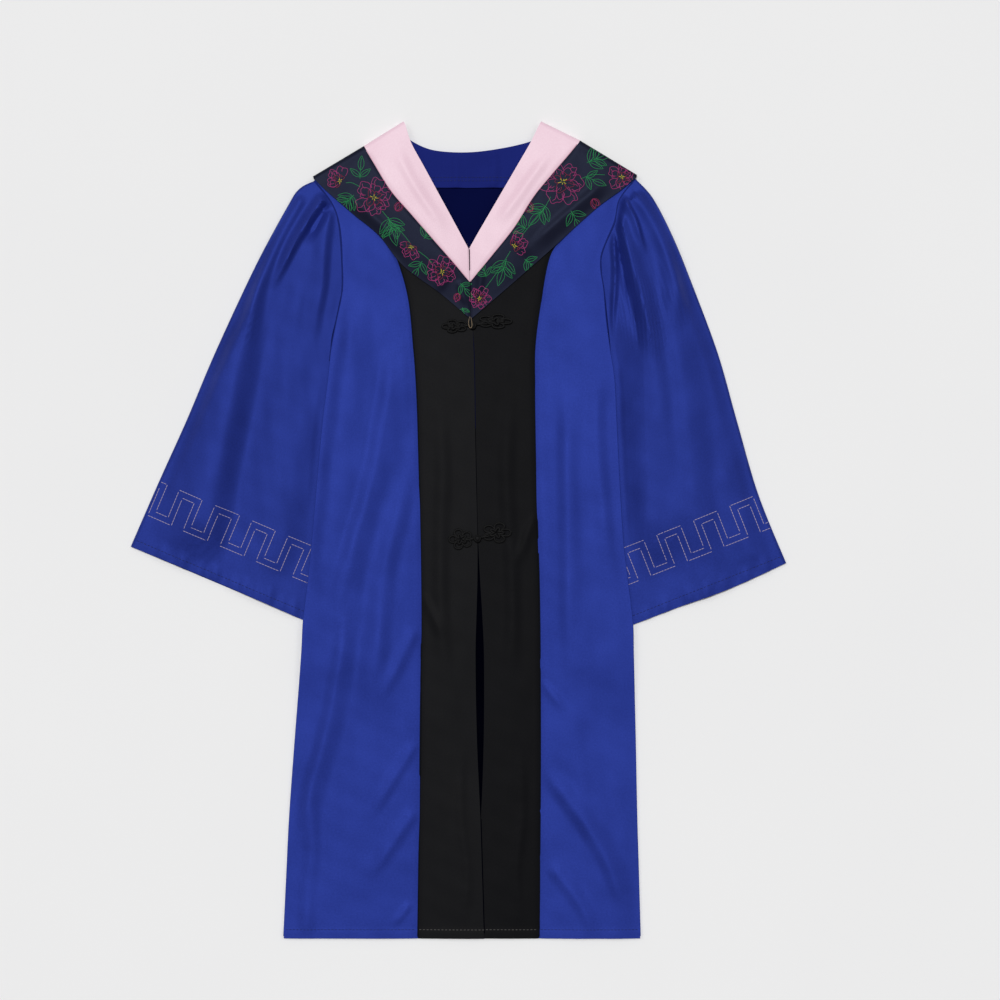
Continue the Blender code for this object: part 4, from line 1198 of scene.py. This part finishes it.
frog_pieces = []
for frog in FROGS:
    loops = [clover(frog, 1.0, CORD + 0.2, 0.10), clover(frog, 0.52, 2 * CORD + 0.2, -0.12)]
    frog_pieces.append((swept(frog.name + "_loops", loops, CORD, CORD, cyclic=True), frog.name))
for knot in KNOTS:
    runs = strands(FROGS[knot.left], knot) + strands(FROGS[knot.right], knot)
    frog_pieces += [
        (swept(knot.name + "_strands", runs, 0.95, 0.95), knot.name),
        (swept(knot.name + "_wraps", knot_wraps(knot), 0.8, 0.8, cyclic=True), knot.name),
        (knot_ball(knot), knot.name),
    ]

# %% [markdown]
# A small loop of beige thread at the point of the hood hooks over the upper knot and keeps the hood in
# place.

# %% Hook the hood to the frog
LOOP_PATH = [
    (11.4, 213.0), (10.2, 208.5), (10.6, 203.4), (12.2, 201.4), (13.6, 203.6), (13.2, 208.4), (12.4, 212.6),
]
frogs_alone = [piece for piece, cad_node in frog_pieces]
on_all_front = cloth_below(hood_left, hood_right, band_left, band_right, *frogs_alone)
hood_loop = swept("hood_loop", laid(evenly(LOOP_PATH, 40), on_all_front, 0.2), 0.25, 0.25)

# %% [markdown]
# ## Materials
# The weave is an effect that several materials share, so it is a node group that is made once. The group
# only works out colours, roughness and heights. The shader stays in the material, and a number that is the
# same all over, such as sheen, is set on the shader itself.

# %% A woven cloth as a node group
WHITE = (1.0, 1.0, 1.0, 1.0)
RELIEF = 0.00003  # metres between the high and low places of a weave


def new_group(name, inputs, outputs):
    group = bpy.data.node_groups.new(name, "ShaderNodeTree")
    for label, kind, value in inputs:
        socket = group.interface.new_socket(label, in_out="INPUT", socket_type=kind)
        if value is not None:
            socket.default_value = value
    for label, kind in outputs:
        group.interface.new_socket(label, in_out="OUTPUT", socket_type=kind)
    return group, group.nodes.new("NodeGroupInput"), group.nodes.new("NodeGroupOutput")


def add_node(tree, kind, sources=None, **settings):
    """A new node with its settings. A source is a number or an output, for the input that it names."""
    made = tree.nodes.new(kind)
    for key, value in settings.items():
        setattr(made, key, value)
    for key, value in (sources or {}).items():
        if isinstance(value, bpy.types.NodeSocket):
            tree.links.new(value, made.inputs[key])
        else:
            made.inputs[key].default_value = value
    return made


def compute(tree, operation, *sources):
    """The output of a math node."""
    return add_node(tree, "ShaderNodeMath", dict(enumerate(sources)), operation=operation).outputs[0]


def sine_ribs(tree, along, across, per_metre, lean):
    """Ribs of a weave: a sine over a leaning direction of the cloth."""
    tilt = compute(tree, "MULTIPLY_ADD", across, lean, along)
    return compute(tree, "SINE", compute(tree, "MULTIPLY", tilt, per_metre))


def weave_group():
    group, start, end = new_group(
        "woven_cloth",
        [("Place", "NodeSocketVector", None), ("Colour", "NodeSocketColor", (0.5, 0.5, 0.5, 1.0)),
         ("Shade", "NodeSocketColor", (0.2, 0.2, 0.2, 1.0)), ("Ribs per metre", "NodeSocketFloat", 11000.0),
         ("Mottle", "NodeSocketFloat", 0.3), ("Roughness", "NodeSocketFloat", 0.5)],
        [("Colour", "NodeSocketColor"), ("Roughness", "NodeSocketFloat"), ("Height", "NodeSocketFloat")],
    )
    given = start.outputs
    x, y, _ = add_node(group, "ShaderNodeSeparateXYZ", {0: given["Place"]}).outputs
    twill = sine_ribs(group, x, y, given["Ribs per metre"], 0.9)
    yarns = sine_ribs(group, y, x, given["Ribs per metre"], -0.15)
    weave = compute(group, "MULTIPLY_ADD", twill, 0.6, yarns)
    slow, fine = (
        add_node(group, "ShaderNodeTexNoise", {0: given["Place"], 2: scale, 3: 3.0, 4: rough}).outputs[0]
        for scale, rough in ((22.0, 0.5), (640.0, 0.7))
    )
    both = compute(group, "MULTIPLY_ADD", fine, 1.3, slow)
    spread = add_node(group, "ShaderNodeMapRange", {0: both, 1: 0.85, 2: 1.45, 3: 0.0, 4: 1.0}).outputs[0]
    depth = compute(group, "MULTIPLY", spread, given["Mottle"])
    both_colours = {0: depth, 6: given["Colour"], 7: given["Shade"]}
    mix = add_node(group, "ShaderNodeMix", both_colours, data_type="RGBA")
    group.links.new(mix.outputs[2], end.inputs["Colour"])
    group.links.new(compute(group, "MULTIPLY_ADD", fine, 0.10, given["Roughness"]), end.inputs["Roughness"])
    group.links.new(compute(group, "MULTIPLY_ADD", fine, 1.6, weave), end.inputs["Height"])
    return group


woven = weave_group()


def cloth_material(name, colour, shade, roughness, ribs=11000.0, mottle=0.5, bump=0.25, sheen=0.1,
                   tint=WHITE, gloss=0.2, gloss_tint=WHITE, uv=True):
    """A fabric: the weave group on the cloth's own UV map, with sheen and gloss on the shader."""
    made = bpy.data.materials.new(name)
    made.use_nodes = True
    tree = made.node_tree
    place = tree.nodes.new("ShaderNodeTexCoord").outputs["UV" if uv else "Object"]
    weave = tree.nodes.new("ShaderNodeGroup")
    weave.node_tree = woven
    tree.links.new(place, weave.inputs["Place"])
    for label, value in (("Colour", (*colour, 1.0)), ("Shade", (*shade, 1.0)), ("Ribs per metre", ribs),
                         ("Mottle", mottle), ("Roughness", roughness)):
        weave.inputs[label].default_value = value
    threads = {"Height": weave.outputs["Height"], "Strength": bump, "Distance": RELIEF}
    relief = add_node(tree, "ShaderNodeBump", threads)
    shader = tree.nodes["Principled BSDF"]
    for label, output in (("Normal", relief.outputs[0]), ("Base Color", weave.outputs["Colour"]),
                          ("Roughness", weave.outputs["Roughness"])):
        tree.links.new(output, shader.inputs[label])
    for label, value in (("Sheen Weight", sheen), ("Sheen Roughness", 0.4), ("Sheen Tint", tint),
                         ("Specular IOR Level", gloss), ("Specular Tint", gloss_tint)):
        shader.inputs[label].default_value = value
    return made


# % Cloth, satin, thread and cord
BLUE_GLOSS = (0.10, 0.18, 1.0, 1.0)
BLUE_SHINE = dict(tint=BLUE_GLOSS, gloss=1.0, gloss_tint=BLUE_GLOSS)
THREAD_WORK = dict(uv=False)
PRINT = dict(gloss=0.1, uv=False)
FABRICS = {  # colour, shade, roughness, and whatever else is not as usual
    "gown_blue": ((0.0185, 0.0340, 0.237), (0.0090, 0.0172, 0.137), 0.52, BLUE_SHINE | dict(mottle=0.75)),
    # the sleeves: the gown's blue made darker as painted shade, for their weaker sheen
    "sleeve_blue_painted_shade": ((0.0148, 0.0270, 0.192), (0.0072, 0.0134, 0.108), 0.52, BLUE_SHINE | dict(mottle=0.75)),
    "edge_blue": ((0.0155, 0.0290, 0.206), (0.0115, 0.0215, 0.167), 0.52, BLUE_SHINE | THREAD_WORK),
    # the facing: the gown's blue, duller and made darker as painted shade inside the neck
    "gown_inside_painted_shade": ((0.0108, 0.0175, 0.150), (0.007, 0.011, 0.105), 0.6,
        dict(sheen=0.0, gloss=0.2, gloss_tint=BLUE_GLOSS)),
    # the back's inside: the cloth's duller reverse side, made much darker as painted shade inside the gown
    "back_inside_painted_shade": ((0.0024, 0.0038, 0.038), (0.0015, 0.0024, 0.026), 0.6,
        dict(sheen=0.0, gloss=0.03, gloss_tint=BLUE_GLOSS)),
    # near-black painted shadow, for the back seen through the slit and for the strip beside the left band's
    # lap
    "painted_shadow_black": ((0.0006, 0.0007, 0.0030), (0.0004, 0.0004, 0.0018), 0.7, dict(sheen=0.0, gloss=0.0)),
    "band_black": ((0.0048, 0.0049, 0.0061), (0.0028, 0.0028, 0.0036), 0.50, dict(sheen=0.0, gloss=0.065)),
    # the right band: band black made darker as painted shade, for the band that lies turned from the light
    "band_black_painted_shade": ((0.0038, 0.0039, 0.0050), (0.0023, 0.0023, 0.0030), 0.50, dict(sheen=0.0, gloss=0.050)),
    "hood_dark": ((0.0085, 0.0095, 0.0205), (0.005, 0.0055, 0.013), 0.40,
        dict(ribs=16000.0, bump=0.12, sheen=0.0, gloss=0.10, gloss_tint=(0.5, 0.6, 1.0, 1.0))),
    "trim_pink": ((0.82, 0.60, 0.69), (0.72, 0.47, 0.57), 0.38,
        dict(ribs=16000.0, bump=0.12, mottle=0.4, sheen=0.05, gloss=0.3)),
    "seam_black": ((0.004, 0.005, 0.009), (0.002, 0.002, 0.004), 0.6,
        dict(sheen=0.0, gloss=0.05, uv=False)),
    # the armhole seam: a real seam, made darker than the cloth as painted shade of its groove
    "seam_blue": ((0.0095, 0.017, 0.125), (0.0065, 0.011, 0.085), 0.55,
        dict(sheen=0.0, gloss=0.3, gloss_tint=BLUE_GLOSS, uv=False)),
    "seam_pink": ((0.70, 0.42, 0.51), (0.58, 0.33, 0.42), 0.5, THREAD_WORK),
    "thread_pale": ((0.42, 0.36, 0.52), (0.28, 0.25, 0.42), 0.45, THREAD_WORK),
    "thread_blue": ((0.010, 0.018, 0.12), (0.007, 0.012, 0.08), 0.5, PRINT),
    "thread_grey": ((0.115, 0.108, 0.10), (0.07, 0.067, 0.064), 0.45, THREAD_WORK),
    "thread_beige": ((0.30, 0.225, 0.145), (0.20, 0.15, 0.10), 0.5, THREAD_WORK),
    "cord_black": ((0.0035, 0.0035, 0.004), (0.0015, 0.0015, 0.0015), 0.5,
        dict(bump=0.6, sheen=0.02, gloss=0.12, uv=False)),
    "print_rose": ((0.40, 0.038, 0.19), (0.25, 0.022, 0.115), 0.5, PRINT),
    "print_crimson": ((0.25, 0.014, 0.052), (0.15, 0.009, 0.032), 0.5, PRINT),
    "print_green": ((0.018, 0.26, 0.080), (0.011, 0.16, 0.05), 0.5, PRINT),
    "print_yellow": ((0.60, 0.55, 0.04), (0.45, 0.40, 0.03), 0.5, PRINT),
}
fabrics = {name: cloth_material(name, *row[:3], **row[3]) for name, row in FABRICS.items()}
print("fabrics:", ", ".join(fabrics))

# %% [markdown]
# ## Dress each piece
# Every piece gets its fabric and rides on the gown's one body. A sheet of cloth or a part of a frog also
# hides the solid that it stands for.

# %% Dress the pieces
# below this height the back's inside is painted near-black, as the shadow in the slit
SLIT_SHADOW_TOP = 100.0  # below this the back is seen only through the narrow slit between the bands
Sheet = namedtuple("Sheet", "piece node material slot width length area rests_on")
SHEETS = [
    # The facing, the right band and the sleeves wear darker copies of their cloth as painted shade
    Sheet(back, "back_panel", "gown_blue", "gown_cloth", 0.356, 0.811, 0.247, []),
    Sheet(facing, "neck_facing", "gown_inside_painted_shade", "gown_cloth", 0.140, 0.062, 0.0042, ["back_panel"]),
    Sheet(front_left, "front_left", "gown_blue", "gown_cloth", 0.138, 0.788, 0.0804, ["back_panel"]),
    Sheet(front_right, "front_right", "gown_blue", "gown_cloth", 0.106, 0.790, 0.0652, ["back_panel"]),
    Sheet(band_left, "band_left", "band_black", "band_cloth", 0.070, 0.811, 0.0481, ["back_panel"]),
    Sheet(band_right, "band_right", "band_black_painted_shade", "band_cloth", 0.070, 0.811, 0.0499, ["back_panel"]),
    Sheet(sleeve_left, "sleeve_left", "sleeve_blue_painted_shade", "gown_cloth", 0.450, 0.460, 0.109, []),
    Sheet(sleeve_right, "sleeve_right", "sleeve_blue_painted_shade", "gown_cloth", 0.420, 0.460, 0.104, []),
    Sheet(trim_left, "hood_trim_left", "trim_pink", "trim_satin", 0.042, 0.260, 0.0089, ["front_left"]),
    Sheet(trim_right, "hood_trim_right", "trim_pink", "trim_satin", 0.042, 0.260, 0.0087, ["front_right"]),
    Sheet(hood_left, "hood_band_left", "hood_dark", "hood_satin", 0.060, 0.320, 0.0156, ["front_left"]),
    Sheet(hood_right, "hood_band_right", "hood_dark", "hood_satin", 0.064, 0.340, 0.0177, ["front_right"]),
]


def dress(piece, material, slot_name, *nodes):
    piece.data.materials.clear()
    piece.data.materials.append(fabrics[material])
    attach(piece, BODY)
    if nodes:
        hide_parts(*nodes)


for row in SHEETS:
    dress(row.piece, row.material, row.slot, row.node)
    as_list(row.rests_on)
# The back's faces that look up, into the gown, are painted as shade, and those below the slit's top as
# near-black shadow
for inside in ("back_inside_painted_shade", "painted_shadow_black"):
    back.data.materials.append(fabrics[inside])
for face in back.data.polygons:
    if face.normal.z > 0.5:
        face.material_index = 1 if face.center.y > SLIT_SHADOW_TOP * MM else 2
# The strip at the band's lap is a painted shadow
TRIMS = [
    (band_seams, "seam_black", "band_cloth"), (lap_painted_shadow, "painted_shadow_black", "band_cloth"),
    (armhole_seams, "seam_blue", "gown_cloth"), (side_seams, "edge_blue", "gown_cloth"),
    (hem_thread, "thread_blue", "gown_cloth"), (band_hem_thread, "thread_grey", "band_cloth"),
    (key_thread, "thread_pale", "gown_cloth"), (trim_seams, "seam_pink", "trim_satin"),
    (hood_mitre, "seam_black", "hood_satin"), (hood_loop, "thread_beige", "hood_satin"),
    (prints[0], "print_rose", "hood_satin"), (prints[1], "print_crimson", "hood_satin"),
    (prints[2], "print_green", "hood_satin"), (prints[3], "print_yellow", "hood_satin"),
]
for piece, material, slot_name in TRIMS:
    dress(piece, material, slot_name)
for piece, cad_node in frog_pieces:
    dress(piece, "cord_black", "frog_cord", cad_node)
print("dressed", len(SHEETS) + len(TRIMS) + len(frog_pieces), "pieces")

# %% [markdown]
# ## Table and light
# The table is a pale matt board. The key light hangs almost over the cloth and leans a little to the
# shoulders, so cloth that faces up shines and the flanks of the folds stay dark. A weak light on each
# side and a pale studio round it all keep the shadows short and soft. Blender's sun lamp gives light from
# one direction, and its angle says how soft the shadows are.

# %% Table
bpy.ops.object.select_all(action="DESELECT")
bpy.ops.mesh.primitive_plane_add(size=6.0, location=(0.0, 0.0, 0.0))
table = bpy.context.object
table.name = "table"
board = bpy.data.materials.new("pale_board")
board.use_nodes = True
shader = board.node_tree.nodes["Principled BSDF"]
place = board.node_tree.nodes.new("ShaderNodeTexCoord").outputs["Object"]
grain = add_node(board.node_tree, "ShaderNodeTexNoise", {"Vector": place, 2: 3.0, 3: 2.0})
greys = {0: grain.outputs[0], 6: (0.86, 0.86, 0.86, 1.0), 7: (0.83, 0.83, 0.835, 1.0)}
tone = add_node(board.node_tree, "ShaderNodeMix", greys, data_type="RGBA")
board.node_tree.links.new(tone.outputs[2], shader.inputs["Base Color"])
shader.inputs["Roughness"].default_value = 0.9
table.data.materials.append(board)
print("table:", table.name, "with", board.name)

# %% Lights
Light = namedtuple("Light", "name place spread strength")
LIGHTS = [
    Light("key_light", (-0.14, 0.55, 2.35), 10.0, 2.05),
    Light("side_light", (-1.6, 0.9, 1.8), 25.0, 0.32),
    Light("far_light", (1.6, 0.9, 1.8), 25.0, 0.26),
]
for light in LIGHTS:
    bpy.ops.object.select_all(action="DESELECT")
    bpy.ops.object.light_add(type="SUN", location=light.place)
    lamp = bpy.context.object
    lamp.name = light.name
    lamp.data.angle = math.radians(light.spread)
    lamp.data.energy = light.strength
    aim = -lamp.location.normalized()
    lamp.rotation_euler = aim.to_track_quat("-Z", "Y").to_euler()
print("lights:", ", ".join(light.name for light in LIGHTS))
world = bpy.data.worlds.new("studio")
world.use_nodes = True
world.node_tree.nodes["Background"].inputs[0].default_value = (1.0, 1.0, 1.0, 1.0)
world.node_tree.nodes["Background"].inputs[1].default_value = 0.22
bpy.context.scene.world = world
bpy.context.scene.view_settings.view_transform = "Standard"  # keeps the blue as deep as the dye is
